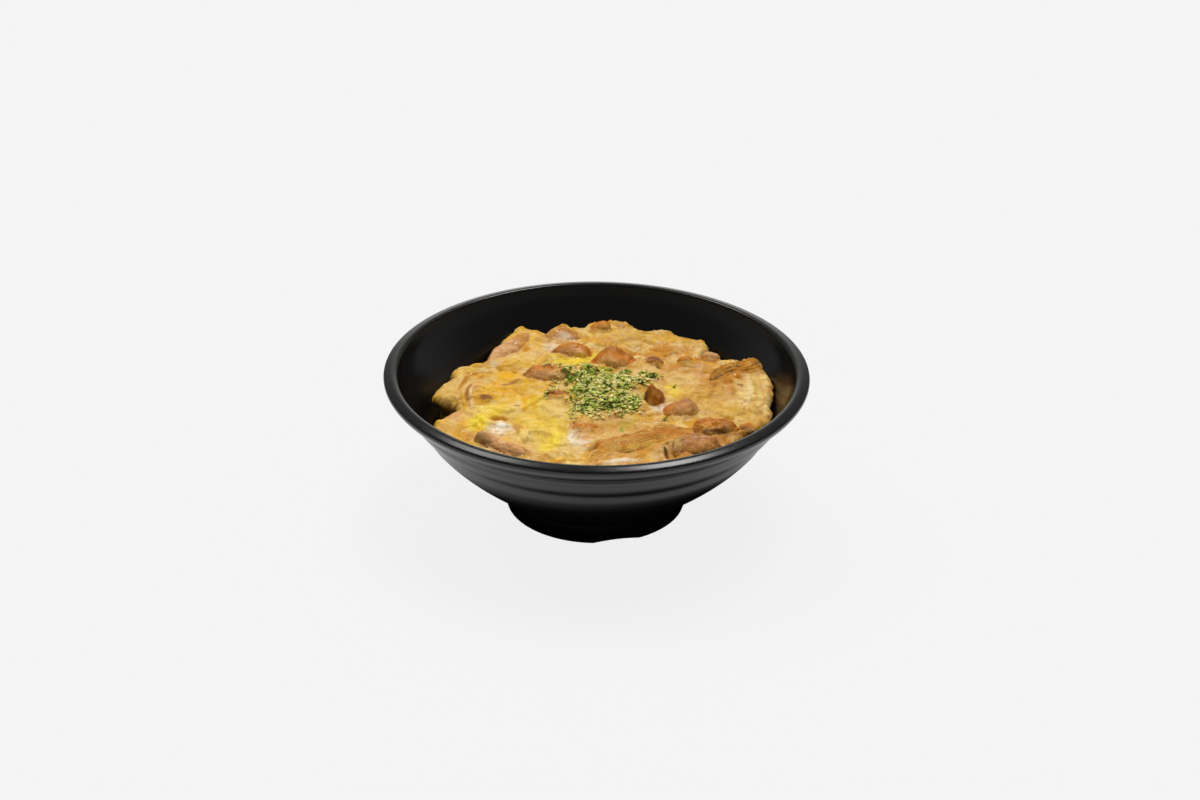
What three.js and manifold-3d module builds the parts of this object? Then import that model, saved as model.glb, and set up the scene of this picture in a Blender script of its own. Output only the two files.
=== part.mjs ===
// A black bowl of oyakodon: chicken and onion simmered in soft egg, with a heap of dried green flakes.
// Millimetres, +Z up. The origin is the centre of the foot's underside, and -Y is the side nearest the viewer.
import * as THREE from "three";
import { mergeVertices } from "three/addons/utils/BufferGeometryUtils.js";
import Module from "manifold-3d";

const wasm = await Module();
wasm.setup();

// Bowl
const rimTop = 73;
const lipCrest = 98.4;
const lipIn = 2.4;
const lipInDrop = 1.8;
const lipBevel = [[103, 70.9], [102.9, 71.5], [102.5, 71.9], [100.6, 72.5], [99, 73]];
const footTop = 10.3;
const footRadius = 44.2;
const footLand = 40.2;
const recessRadius = 38.3;
const recessDepth = 7.6;
const floorLevel = 11.5;
const outerWall = [
  [44.1, footTop], [49.3, 14], [63.3, 24], [76.2, 36], [86, 48], [94.1, 60], [98, 64.2], [101.2, 67.6],
  [102.7, 69.8], [103, 70.9],
];
const innerWall = [[96, 71.2], [93.4, 66], [89.3, 60], [80, 48], [67.4, 34], [53.5, 22], [38, 14.6], [20, 12]];
const throwingRings = [{ level: 61.2, deep: 1.5 }, { level: 49.2, deep: 1.5 }];
const ringAbove = 4.6;
const ringBelow = 4.2;
const smoothLevels = [footTop, 14, 19, 25, 31, 36.5];
const groovedLevels = [40, 45, 47.1, 49.2, 51.5, 53.8, 57, 59.1, 61.2, 63.5, 65.8];
const footNotches = [16, 136, 256];
const notchHalfAngle = 15;
const notchDepth = 1.6;
const bowlSegments = 48;

// Egg: its top, its uneven edge, and how it sits in the bowl
const eggCentre = 61.6;
const eggFall = 1.4;
const eggRadius = 81;
const edgeReach = 7;
const edgeDrop = 6;
const undercut = 3;
const contactLevel = 39;
const bedGap = 0.8;
const eggSectors = 72;
const eggLobes = [
  { at: 270, out: 5, wide: 60 },
  { at: 344, out: 5, wide: 6 },
  { at: 10, out: 7, wide: 16 },
  { at: 35, out: -16, wide: 7 },
  { at: 56, out: -5, wide: 5 },
  { at: 70, out: -9.5, wide: 6 },
  { at: 81, out: 1.5, wide: 6 },
  { at: 97, out: -10, wide: 5 },
  { at: 113, out: -13, wide: 4.5 },
  { at: 118, out: 5, wide: 4 },
  { at: 145, out: -22, wide: 12.5 },
  { at: 170, out: -8, wide: 8 },
  { at: 186, out: -2.2, wide: 7 },
  { at: 195, out: -13, wide: 5.5 },
  { at: 212, out: 5, wide: 12 },
];
const eggSwells = [
  { at: [4, -8], wide: 20, high: 1.6 },
  { at: [-62, -4], wide: 13, high: 1.5 },
  { at: [-76, -8], wide: 6, high: 1.6 },
  { at: [-46, -29], wide: 5, high: -1.8 },
  { at: [15, 62], wide: 9, high: 2.4 },
  { at: [42, 60], wide: 10, high: 2 },
  { at: [72, 6], wide: 13, high: 1.8 },
  { at: [22, 44], wide: 6, high: -1.6 },
  { at: [29, -60], wide: 6, high: 1.4 },
  { at: [36, -64], wide: 3, high: -3 },
];

// Dried green flakes, heaped at the middle
const flakeCentre = [4, -7.5];
const flakeSpread = [20, 26];
const flakeCount = 36;
const flakeLength = 2.3;
const flakeThickness = 0.7;

// Chicken: at is the middle seen from above, size is length, width and height, sunk is how far its middle
// lies under the egg's surface, turn is about Z and lean lifts the far end of its length, in degrees.
const pocketGap = 0.35;
const chicken = [
  { name: "chicken_back_long", at: [-44.5, 42.5], size: [33, 11, 11], turn: 60, lean: 3, sunk: 1, detail: 2 },
  { name: "chicken_back_pale", at: [-18, 57], size: [18, 12, 11], turn: 6, lean: 0, sunk: 0.8, detail: 1 },
  { name: "chicken_back_top", at: [2, 67], size: [11, 8, 9], turn: 0, lean: 0, sunk: 0.4, detail: 1 },
  { name: "chicken_oval", at: [-12.5, 39], size: [19.5, 12, 11], turn: 4, lean: 0, sunk: 1.4, detail: 2 },
  { name: "chicken_fin", at: [8, 30], size: [20, 16, 10], turn: -8, lean: 0, sunk: 1.4, detail: 2, peak: 2.8 },
  { name: "chicken_glossy", at: [-24, 13], size: [23, 13, 11], turn: 4, lean: 0, sunk: 0.8, detail: 2 },
  { name: "chicken_upright", at: [28, -11.5], size: [9.5, 13, 11], turn: 10, lean: 0, sunk: 1, detail: 1, peak: 2.8 },
  { name: "chicken_pink", at: [40.5, -22], size: [17, 13, 10], turn: 10, lean: 0, sunk: 0.8, detail: 1, peak: 2,
    peakAt: 0.35 },
  { name: "chicken_dark", at: [-19, -8], size: [12, 8, 6], turn: -16, lean: 0, sunk: 1.2, detail: 1 },
  { name: "chicken_rim_left", at: [-43, -59], size: [28, 9, 9], turn: -27, lean: 0, sunk: 1.2, detail: 2, peak: 5,
    peakAt: -0.75 },
  { name: "chicken_rim_right", at: [56.4, -39.8], size: [19, 15, 11.5], turn: -4, lean: 0, sunk: 1, detail: 2 },
  { name: "chicken_rim_wedge", at: [71.2, -39], size: [9, 8.5, 8], turn: 40, lean: 0, sunk: 1.2, detail: 1 },
  { name: "chicken_rim_front", at: [46, -57.5], size: [24, 16, 12], turn: 8, lean: 0, sunk: 1.6, detail: 2 },
  { name: "chicken_bit_dark", at: [29, 30.5], size: [9, 6, 6], turn: -15, lean: 0, sunk: 0.9, detail: 1 },
  { name: "chicken_bit_back", at: [44, 32], size: [8, 6, 6], turn: 8, lean: 0, sunk: 0.8, detail: 1 },
  { name: "chicken_bit_pink", at: [57, 35.5], size: [9, 7, 7], turn: -8, lean: 0, sunk: 0.4, detail: 1 },
  { name: "chicken_bit_left", at: [-53, -13], size: [7, 5, 5], turn: 0, lean: 0, sunk: 1.2, detail: 1 },
  { name: "chicken_bit_front", at: [-5, -41], size: [12, 7, 6], turn: 14, lean: 0, sunk: 1.2, detail: 1 },
];
const chickenBoxiness = 2.5;
const chickenUnevenness = 0.07;

// Onion strips: path is seen from above, rise is the height over the egg's surface at each point
const onion = [
  { name: "onion_right", path: [[57, 8], [65, 15.5], [73, 21.5], [81, 26.5]], rise: [1, 2, 2.6, 3.2], wide: 10, roll: 26 },
  { name: "onion_front", path: [[3, -58], [16, -53], [31, -47], [46, -42]], rise: [0.3, 1.4, 1.4, 0.5], wide: 7.5, roll: 22 },
  { name: "onion_rim", path: [[-2, -66], [10, -61], [21, -57.5], [30, -55]], rise: [0.4, 1, 0.8, 0.4], wide: 5, roll: 24 },
];
const onionThickness = 1.5;
const onionCrown = 0.7;
const onionSteps = 9;

const black = new THREE.MeshStandardMaterial({ color: 0x26262a, roughness: 0.42, metalness: 0 });
const eggYellow = new THREE.MeshStandardMaterial({ color: 0xdfb060, roughness: 0.45, metalness: 0 });
const cookedChicken = new THREE.MeshStandardMaterial({ color: 0xbd7a3c, roughness: 0.4, metalness: 0 });
const softOnion = new THREE.MeshStandardMaterial({ color: 0xb9741f, roughness: 0.35, metalness: 0 });

// A repeatable random number from 0 to 1 (mulberry32)
function seededRandom(seed) {
  let state = seed;
  return () => {
    state = (state + 0x6d2b79f5) | 0;
    let t = Math.imul(state ^ (state >>> 15), 1 | state);
    t = (t + Math.imul(t ^ (t >>> 7), 61 | t)) ^ t;
    return ((t ^ (t >>> 14)) >>> 0) / 4294967296;
  };
}

function curveThrough(points) {
  return new THREE.SplineCurve(points.map(([r, z]) => new THREE.Vector2(r, z)));
}

// Quarter of an ellipse from one angle to another, in degrees, with neither end repeated by its neighbour
function arc(centreR, centreZ, spanR, spanZ, from, to, steps) {
  const points = [];
  for (let i = 1; i < steps; i++) {
    const a = THREE.MathUtils.degToRad(from + ((to - from) * i) / steps);
    points.push(new THREE.Vector2(centreR + spanR * Math.cos(a), centreZ + spanZ * Math.sin(a)));
  }
  return points;
}

// The outer wall bellies out between the grooves that the throwing rings leave
function ringRelief(z) {
  return throwingRings.reduce((sum, ring) => {
    const away = z > ring.level ? (z - ring.level) / ringAbove : (ring.level - z) / ringBelow;
    return sum - ring.deep * Math.max(0, 1 - away);
  }, 0);
}

function outerProfile() {
  const wall = curveThrough(outerWall).getPoints(300);
  const levels = [...smoothLevels, ...groovedLevels, ...outerWall.slice(-3).map((point) => point[1])];
  return levels.map((z) => {
    const near = wall.reduce((best, p) => (Math.abs(p.y - z) < Math.abs(best.y - z) ? p : best));
    return new THREE.Vector2(near.x + ringRelief(z), z);
  });
}

const innerPoints = [...curveThrough(innerWall).getPoints(200), new THREE.Vector2(0, floorLevel)];

// Radius of the bowl's inside at a height
function bowlInside(z) {
  const i = innerPoints.findIndex((p) => p.y <= z);
  if (i <= 0) return innerPoints[i === 0 ? 0 : innerPoints.length - 1].x;
  const a = innerPoints[i - 1];
  const b = innerPoints[i];
  return b.x + ((a.x - b.x) * (z - b.y)) / (a.y - b.y);
}

function bowlGeometry() {
  const edge = 1;
  const profile = [
    new THREE.Vector2(0, recessDepth),
    new THREE.Vector2(recessRadius - 2, recessDepth),
    new THREE.Vector2(recessRadius, recessDepth - 2),
    new THREE.Vector2(footLand - edge, edge),
    new THREE.Vector2(footLand, 0),
    new THREE.Vector2(footRadius - edge, 0),
    new THREE.Vector2(footRadius, edge),
    new THREE.Vector2(footRadius, footTop - 1.2),
    ...outerProfile(),
    ...lipBevel.slice(1).map(([r, z]) => new THREE.Vector2(r, z)),
    new THREE.Vector2(lipCrest, rimTop),
    ...arc(lipCrest, rimTop - lipInDrop, lipIn, lipInDrop, 90, 180, 3),
    ...curveThrough(innerWall).getPoints(11),
    new THREE.Vector2(0, floorLevel),
  ];
  const geometry = new THREE.LatheGeometry(profile, bowlSegments);
  geometry.rotateX(Math.PI / 2);
  return cutFootNotches(geometry);
}

// Three shallow drain notches in the foot ring, deepest a little before their middle
function cutFootNotches(geometry) {
  const position = geometry.getAttribute("position");
  for (let i = 0; i < position.count; i++) {
    if (position.getZ(i) > 1.1) continue;
    const aroundFromFront = THREE.MathUtils.radToDeg(Math.atan2(position.getX(i), -position.getY(i)));
    for (const middle of footNotches) {
      const off = ((aroundFromFront - middle + 540) % 360) - 180;
      const reach = Math.abs(off + 2) / notchHalfAngle;
      if (reach < 1) position.setZ(i, position.getZ(i) + notchDepth * (1 - reach ** 2));
    }
  }
  return geometry;
}

function eggEdge(angle) {
  const degrees = THREE.MathUtils.radToDeg(angle);
  return eggLobes.reduce((radius, lobe) => {
    const off = ((degrees - lobe.at + 540 + 360) % 360) - 180;
    return radius + lobe.out * Math.exp(-((off / lobe.wide) ** 2));
  }, eggRadius);
}

// Height of the egg's top before it turns down at its edge
function eggTop(x, y) {
  const dome = eggCentre - eggFall * ((x * x + y * y) / eggRadius ** 2);
  const folds = 0.5 * Math.sin(0.19 * x + 0.11 * y + 1) + 0.45 * Math.sin(0.24 * y - 0.13 * x + 2.2);
  return eggSwells.reduce((z, swell) => {
    const away = Math.hypot(x - swell.at[0], y - swell.at[1]) / swell.wide;
    return z + swell.high * Math.exp(-away * away);
  }, dome + folds);
}

// One closed grid: rings over the top, round the edge, down to where the egg meets the bowl, then the bed
function eggGeometry() {
  const rings = [];
  for (const part of [0.12, 0.26, 0.4, 0.53, 0.65, 0.76, 0.85]) {
    rings.push((angle) => topPoint(angle, part * (eggEdge(angle) - edgeReach)));
  }
  for (let step = 0; step <= 4; step++) {
    const bend = (step / 4) * (Math.PI / 2);
    rings.push((angle) => topPoint(angle, eggEdge(angle) - edgeReach * (1 - Math.sin(bend)), edgeDrop * (1 - Math.cos(bend))));
  }
  for (const z of [48, contactLevel, 31, 23, 15.5]) rings.push((angle) => bedPoint(angle, z));

  const positions = [0, 0, eggTop(0, 0)];
  for (const ring of rings) {
    for (let s = 0; s < eggSectors; s++) positions.push(...ring((s / eggSectors) * 2 * Math.PI));
  }
  positions.push(0, 0, floorLevel + bedGap);
  return closedGrid(positions, rings.length, eggSectors);
}

function topPoint(angle, radius, drop = 0) {
  const z = eggTop(radius * Math.cos(angle), radius * Math.sin(angle)) - drop;
  const clear = Math.min(radius, bowlInside(z - bedGap));
  return [clear * Math.cos(angle), clear * Math.sin(angle), z];
}

// The side comes down a little under the edge and meets the bowl at the contact level
function bedPoint(angle, z) {
  const wall = bowlInside(z - bedGap);
  const radius = z > contactLevel ? Math.min(eggEdge(angle) - undercut, wall) : wall;
  return [radius * Math.cos(angle), radius * Math.sin(angle), z];
}

// Faces for a first point, rings of equal count, and a last point, facing out when the first is on top
function closedGrid(positions, ringCount, around) {
  const index = [];
  const last = positions.length / 3 - 1;
  const at = (ring, step) => 1 + ring * around + (step % around);
  for (let s = 0; s < around; s++) {
    index.push(0, at(0, s), at(0, s + 1));
    for (let ring = 0; ring < ringCount - 1; ring++) {
      index.push(at(ring, s), at(ring + 1, s), at(ring + 1, s + 1));
      index.push(at(ring, s), at(ring + 1, s + 1), at(ring, s + 1));
    }
    index.push(last, at(ringCount - 1, s + 1), at(ringCount - 1, s));
  }
  const geometry = new THREE.BufferGeometry();
  geometry.setAttribute("position", new THREE.Float32BufferAttribute(positions, 3));
  geometry.setIndex(index);
  return geometry;
}

// A rounded, slightly boxy and uneven lump, larger by grow all round
function chickenGeometry(piece, grow = 0) {
  const geometry = mergedPositions(new THREE.IcosahedronGeometry(1, piece.detail));
  const position = geometry.getAttribute("position");
  const [long, wide, high] = piece.size.map((size) => size / 2 + grow);
  const phase = piece.at[0] + piece.at[1];
  for (let i = 0; i < position.count; i++) {
    const [u, v, w] = [position.getX(i), position.getY(i), position.getZ(i)];
    const norm = [u, v, w].reduce((sum, c) => sum + Math.abs(c) ** chickenBoxiness, 0) ** (1 / chickenBoxiness);
    const uneven = 1 + chickenUnevenness * (Math.sin(3 * u + phase) + Math.sin(4 * v - 2 * w + 2 * phase));
    const peak = piece.peak ? piece.peak * Math.max(w, 0) * Math.exp(-(((u - (piece.peakAt ?? -0.2)) / 0.4) ** 2)) : 0;
    const scale = uneven / norm;
    position.setXYZ(i, u * scale * long, v * scale * wide, w * scale * high + peak);
  }
  return geometry;
}

function chickenMesh(piece) {
  const mesh = new THREE.Mesh(chickenGeometry(piece), cookedChicken);
  mesh.name = piece.name;
  mesh.position.set(...piece.at, eggTop(...piece.at) - piece.sunk);
  mesh.rotation.set(0, -THREE.MathUtils.degToRad(piece.lean), THREE.MathUtils.degToRad(piece.turn), "ZYX");
  return mesh;
}

// A thin strip whose section is a shallow arch, along a curve that lies on the egg
function onionGeometry(strip, grow = 0) {
  const points = strip.path.map(([x, y], i) => new THREE.Vector3(x, y, eggTop(x, y) + strip.rise[i]));
  const curve = new THREE.CatmullRomCurve3(points);
  const roll = THREE.MathUtils.degToRad(strip.roll);
  const half = strip.wide / 2 + grow;
  const thick = onionThickness / 2 + grow;
  const section = [[-1, 0], [-0.6, 1], [0, 1], [0.6, 1], [1, 0], [0.6, -1], [0, -1], [-0.6, -1]];
  const positions = [];
  const length = curve.getLength();
  for (let i = 0; i <= onionSteps; i++) {
    const tangent = curve.getTangentAt(i / onionSteps);
    const side = new THREE.Vector3(-tangent.y, tangent.x, 0).normalize();
    const across = side.clone().multiplyScalar(Math.cos(roll)).add(new THREE.Vector3(0, 0, Math.sin(roll)));
    const up = new THREE.Vector3().crossVectors(tangent, across).normalize();
    const taper = Math.sqrt(Math.max(0, 1 - Math.abs((2 * i) / onionSteps - 1) ** 6)) * 0.75 + 0.25;
    const centre = curve.getPointAt(i / onionSteps).addScaledVector(tangent, grow * ((2 * i) / onionSteps - 1));
    if (i === 0) positions.push(...centre.clone().addScaledVector(tangent, -length * 0.01).toArray());
    for (const [a, b] of section) {
      const arch = onionCrown * (1 - a * a);
      const point = centre.clone().addScaledVector(across, a * half * taper).addScaledVector(up, b * thick + arch);
      positions.push(...point.toArray());
    }
    if (i === onionSteps) positions.push(...centre.clone().addScaledVector(tangent, length * 0.01).toArray());
  }
  return closedGrid(positions, onionSteps + 1, section.length);
}

function onionMesh(strip) {
  const mesh = new THREE.Mesh(onionGeometry(strip), softOnion);
  mesh.name = strip.name;
  return mesh;
}

// Flat chips spread by a seeded draw over the heap, each lying on the egg and partly in it
function flakeGeometries() {
  const random = seededRandom(7);
  const flakes = [];
  for (let i = 0; i < flakeCount; i++) {
    const away = Math.sqrt(random());
    const angle = 2 * Math.PI * random();
    const x = flakeCentre[0] + flakeSpread[0] * away * Math.cos(angle);
    const y = flakeCentre[1] + flakeSpread[1] * away * Math.sin(angle);
    const size = 0.5 * flakeLength * (0.7 + 0.6 * random());
    const chip = mergedPositions(new THREE.OctahedronGeometry(1, 0));
    chip.scale(size, size * (0.5 + 0.3 * random()), flakeThickness);
    chip.rotateX(0.8 * (random() - 0.5));
    chip.rotateY(0.8 * (random() - 0.5));
    chip.rotateZ(Math.PI * random());
    chip.translate(x, y, eggTop(x, y) + 0.15);
    flakes.push(chip);
  }
  return flakes;
}

function mergedPositions(geometry) {
  const bare = geometry.clone();
  bare.deleteAttribute("normal");
  bare.deleteAttribute("uv");
  return mergeVertices(bare, 1e-3);
}

function toSolid(geometry) {
  const merged = mergedPositions(geometry);
  const vertProperties = new Float32Array(merged.getAttribute("position").array);
  const triVerts = new Uint32Array(merged.index.array);
  return new wasm.Manifold(new wasm.Mesh({ numProp: 3, vertProperties, triVerts }));
}

function fromSolid(solid) {
  const mesh = solid.getMesh();
  const geometry = new THREE.BufferGeometry();
  geometry.setAttribute("position", new THREE.BufferAttribute(mesh.vertProperties, 3));
  geometry.setIndex(new THREE.BufferAttribute(mesh.triVerts, 1));
  return geometry;
}

// Each piece lies in a pocket of its own in the egg, and the flakes that lie clear of the pieces are part of it
function eggMesh() {
  const pockets = [
    ...chicken.map((piece) => {
      const mesh = chickenMesh(piece);
      mesh.updateMatrixWorld();
      return toSolid(chickenGeometry(piece, pocketGap).applyMatrix4(mesh.matrixWorld));
    }),
    ...onion.map((strip) => toSolid(onionGeometry(strip, pocketGap))),
  ];
  let egg = toSolid(eggGeometry());
  for (const flake of flakeGeometries()) egg = egg.add(toSolid(flake));
  for (const pocket of pockets) egg = egg.subtract(pocket);
  const mesh = new THREE.Mesh(fromSolid(largestPiece(egg)), eggYellow);
  mesh.name = "egg";
  return mesh;
}

// A pocket can cut a scrap of flake loose, and only the egg itself is kept
function largestPiece(solid) {
  return solid.decompose().reduce((best, piece) => (piece.volume() > best.volume() ? piece : best));
}

const part = new THREE.Group();
const bowl = new THREE.Mesh(bowlGeometry(), black);
bowl.name = "bowl";
part.add(bowl, eggMesh(), ...chicken.map(chickenMesh), ...onion.map(onionMesh));

export default part;
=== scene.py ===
# A black bowl of oyakodon: chicken simmered in soft egg, with onion and dried green flakes
import math
import random

import bmesh
import bpy
import numpy as np
from mathutils import Matrix, Vector, noise
from mathutils.bvhtree import BVHTree


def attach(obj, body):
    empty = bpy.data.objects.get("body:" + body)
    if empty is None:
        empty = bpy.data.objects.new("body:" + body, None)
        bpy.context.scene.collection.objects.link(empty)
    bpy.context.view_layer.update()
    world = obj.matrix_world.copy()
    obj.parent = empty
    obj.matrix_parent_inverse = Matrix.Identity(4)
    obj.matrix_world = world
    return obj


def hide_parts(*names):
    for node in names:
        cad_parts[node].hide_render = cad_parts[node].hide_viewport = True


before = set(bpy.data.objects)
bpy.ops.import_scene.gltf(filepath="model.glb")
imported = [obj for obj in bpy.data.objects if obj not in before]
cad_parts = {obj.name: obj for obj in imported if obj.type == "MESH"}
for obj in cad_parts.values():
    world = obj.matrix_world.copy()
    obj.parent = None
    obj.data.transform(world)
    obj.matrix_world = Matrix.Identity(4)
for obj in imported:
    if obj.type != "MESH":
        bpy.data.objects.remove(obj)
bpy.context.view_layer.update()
scene = bpy.context.scene
scene.view_settings.view_transform = "Standard"  # colours come out as they are mixed here
mm = 0.001


def toLinear(hexColour):
    channels = [int(hexColour[i:i + 2], 16) / 255 for i in (1, 3, 5)]
    return tuple(c / 12.92 if c <= 0.04045 else ((c + 0.055) / 1.055) ** 2.4 for c in channels)


def addNode(tree, kind, inputs=None, links=None, **settings):
    node = tree.nodes.new("ShaderNode" + kind)
    for name, value in settings.items():
        setattr(node, name, value)
    for name, value in (inputs or {}).items():
        node.inputs[name].default_value = value
    for name, source in (links or {}).items():
        tree.links.new(source, node.inputs[name])
    return node


def rangeNode(tree, source, levels, ends, **settings):
    spans = {"From Min": levels[0], "From Max": levels[1], "To Min": ends[0], "To Max": ends[1]}
    return addNode(tree, "MapRange", spans, {"Value": source}, **settings).outputs["Result"]


def grainNode(tree, place, scale, detail=3, **inputs):
    grain = addNode(tree, "TexNoise", {"Scale": scale, "Detail": detail, **inputs}, {"Vector": place})
    return grain.outputs["Fac"]


def newMaterial(name):
    material = bpy.data.materials.new(name)
    material.use_nodes = True
    material.node_tree.nodes.clear()
    return material, material.node_tree


def withSurface(material, surface):
    addNode(material.node_tree, "OutputMaterial", links={"Surface": surface})
    return material


def finishPiece(name, bm, material, nodes=(), smooth=True):
    mesh = bpy.data.meshes.new(name)
    bm.to_mesh(mesh)
    bm.free()
    mesh.polygons.foreach_set("use_smooth", [smooth] * len(mesh.polygons))
    mesh.materials.append(material)
    piece = bpy.data.objects.new(name, mesh)
    scene.collection.objects.link(piece)
    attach(piece, "root")
    if nodes:
        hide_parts(*nodes)
    return piece


# Points in millimetres, as arrays of x, y and z
def pointsOf(bm):
    return np.array([v.co for v in bm.verts], float).reshape(-1, 3)


def movePoints(bm, points):
    for v, place in zip(bm.verts, points):
        v.co = place


def noiseAt(points, size, octaves=3, shift=0.0):  # about -1 to 1, with lumps of that size in millimetres
    scaled = points / size + shift
    return np.array([noise.fractal(Vector(p), 1.0, 2.0, octaves) for p in scaled])


def smoothStep(low, high, values):
    share = np.clip((values - low) / (high - low), 0, 1)
    return share * share * (3 - 2 * share)


def curvePoints(points, steps):  # a smooth curve through the points, that many steps to a span
    ends = [2 * Vector(points[0]) - Vector(points[1]), 2 * Vector(points[-1]) - Vector(points[-2])]
    path = [ends[0], *map(Vector, points), ends[1]]
    found = []
    for a, b, c, d in zip(path, path[1:], path[2:], path[3:]):
        for i in range(steps):
            t = i / steps
            found.append(0.5 * (2 * b + (c - a) * t + (2 * a - 5 * b + 4 * c - d) * t ** 2
                                + (3 * b - 3 * c + d - a) * t ** 3))
    return found + [Vector(points[-1])]


# The camera, solved from the rim and the foot of the bowl in the photograph
photoCamera = {"place": (0, -1000, 574.4), "down": 27.44, "yaw": 0.10, "roll": 0.59,
               "focalPixels": 2311, "imageWidth": 1200, "sensor": 36}


def makeCamera(settings):
    down, yaw, roll = (math.radians(settings[k]) for k in ("down", "yaw", "roll"))
    ahead = Vector((math.sin(yaw) * math.cos(down), math.cos(yaw) * math.cos(down), -math.sin(down)))
    level = Vector((math.cos(yaw), -math.sin(yaw), 0))
    above = level.cross(ahead)
    right = level * math.cos(roll) + above * math.sin(roll)
    up = above * math.cos(roll) - level * math.sin(roll)
    data = bpy.data.cameras.new("photoCamera")
    data.sensor_width = settings["sensor"]
    data.lens = settings["focalPixels"] * settings["sensor"] / settings["imageWidth"]
    data.clip_end = 100
    camera = bpy.data.objects.new("photoCamera", data)
    camera.matrix_world = Matrix.Translation(Vector(settings["place"]) * mm) @ Matrix(
        (right, up, -ahead)).transposed().to_4x4()
    scene.collection.objects.link(camera)
    scene.camera = camera


makeCamera(photoCamera)
print("camera made")

# Bowl: thrown look, with grooves outside, a thick lip and a notched foot
bowlShape = {
    "rimTop": 73, "lipCrest": 98.4, "lipIn": 2.4, "lipInDrop": 1.8,
    "lipBevel": [(102.97, 71.2), (102.9, 71.5), (102.75, 71.75), (102.5, 71.9), (101.6, 72.2), (99.8, 72.78),
                 (99, 72.97)],
    "footTop": 10.3, "footCorner": 1.2, "footRadius": 44.2, "footLand": 40.2, "footEdge": 1,
    "recessRadius": 38.3, "recessCorner": 2, "recessDepth": 7.6, "floorLevel": 11.5,
    "outerWall": [(44.1, 10.3), (49.3, 14), (63.3, 24), (76.2, 36), (86, 48), (94.1, 60), (98, 64.2),
                  (101.2, 67.6), (102.7, 69.8), (103, 70.9)],
    "innerWall": [(96, 71.2), (93.4, 66), (89.3, 60), (80, 48), (67.4, 34), (53.5, 22), (38, 14.6), (20, 12)],
    "throwingRings": [(61.2, 1.5), (49.2, 1.5)], "ringAbove": 4.6, "ringBelow": 4.2, "ringSoftness": 0.3,
    "notches": [16, 136, 256], "notchLean": 2, "notchHalfAngle": 15, "notchDepth": 1.6,
    "turns": 288, "outerSteps": 12, "lipSteps": 14, "innerSteps": 24,
}
bowlInnerCurve = curvePoints([(r, z, 0) for r, z in bowlShape["innerWall"]], bowlShape["innerSteps"])


def bowlInside(levels):  # the inside's radius at each height
    radii = np.array([p.x for p in bowlInnerCurve] + [0.0])
    heights = np.array([p.y for p in bowlInnerCurve] + [bowlShape["floorLevel"]])
    return np.interp(levels, heights[::-1], radii[::-1])


def ringRelief(s, z):  # grooves with a soft bottom: a long slope above each and a shorter one below
    relief, shifts = 0, range(-4, 5)
    for level, deep in s["throwingRings"]:
        for off in (z - level + s["ringSoftness"] * i for i in shifts):
            slope = off / s["ringAbove"] if off > 0 else -off / s["ringBelow"]
            relief += deep / len(shifts) * max(0, 1 - slope)
    return relief


def bowlProfile(s):
    foot, land, edge = s["footRadius"], s["footLand"], s["footEdge"]
    recess, depth, corner = s["recessRadius"], s["recessDepth"], s["recessCorner"]
    profile = [(0, depth), (recess - corner, depth), (recess, depth - corner), (land - edge, edge), (land, 0),
               (foot - edge, 0), (foot - edge / 4, edge / 4), (foot, edge),
               (foot, s["footTop"] - s["footCorner"])]
    for p in curvePoints([(r, z, 0) for r, z in s["outerWall"]], s["outerSteps"])[:-1]:
        profile.append((p.x - ringRelief(s, p.y), p.y))
    profile += s["lipBevel"]
    for i in range(s["lipSteps"]):
        turn = math.radians(90 + 90 * i / s["lipSteps"])
        profile.append((s["lipCrest"] + s["lipIn"] * math.cos(turn),
                        s["rimTop"] + s["lipInDrop"] * (math.sin(turn) - 1)))
    profile += [(p.x, p.y) for p in bowlInnerCurve] + [(0, s["floorLevel"])]
    return profile


def cutNotches(bm, s):
    for v in bm.verts:
        if v.co.z > 1.1 * s["footEdge"]:  # above the foot's lower edge
            continue
        fromFront = math.degrees(math.atan2(v.co.x, -v.co.y))
        for middle in s["notches"]:
            off = (fromFront - middle + 540) % 360 - 180
            reach = abs(off + s["notchLean"]) / s["notchHalfAngle"]
            if reach < 1:
                v.co.z += s["notchDepth"] * (1 - reach ** 2)


# Moulded melamine: deep black, with a soft sheen that a faint haze 22 mm wide varies, and 1.4 mm orange peel
melamine = {"colour": "#09090A", "ior": 1.5, "hazeScale": 45, "roughness": (0.17, 0.25), "peelScale": 700,
            "peel": 0.02, "peelHeight": 0.0002}


def blackMelamine(look):
    material, tree = newMaterial("mouldedBlackMelamine")
    place = addNode(tree, "TexCoord").outputs["Object"]
    rough = rangeNode(tree, grainNode(tree, place, look["hazeScale"]), (0, 1), look["roughness"])
    peel = grainNode(tree, place, look["peelScale"], 2)
    bump = addNode(tree, "Bump", {"Strength": look["peel"], "Distance": look["peelHeight"]}, {"Height": peel})
    colour = (*toLinear(look["colour"]), 1)
    shader = addNode(tree, "BsdfPrincipled", {"Base Color": colour, "IOR": look["ior"]},
                     {"Roughness": rough, "Normal": bump.outputs["Normal"]})
    return withSurface(material, shader.outputs["BSDF"])


def makeBowl(s):
    bm = bmesh.new()
    points = [bm.verts.new((r, 0, z)) for r, z in bowlProfile(s)]
    edges = [bm.edges.new(pair) for pair in zip(points, points[1:])]
    bmesh.ops.spin(bm, geom=points + edges, cent=(0, 0, 0), axis=(0, 0, 1), angle=2 * math.pi,
                   steps=s["turns"], use_merge=True)
    bmesh.ops.remove_doubles(bm, verts=bm.verts, dist=1e-4)
    cutNotches(bm, s)
    bmesh.ops.recalc_face_normals(bm, faces=bm.faces)
    bmesh.ops.scale(bm, verts=bm.verts, vec=(mm, mm, mm))
    return finishPiece("melamineBowl", bm, blackMelamine(melamine), ["bowl"])


makeBowl(bowlShape)
print("bowl made")

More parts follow.
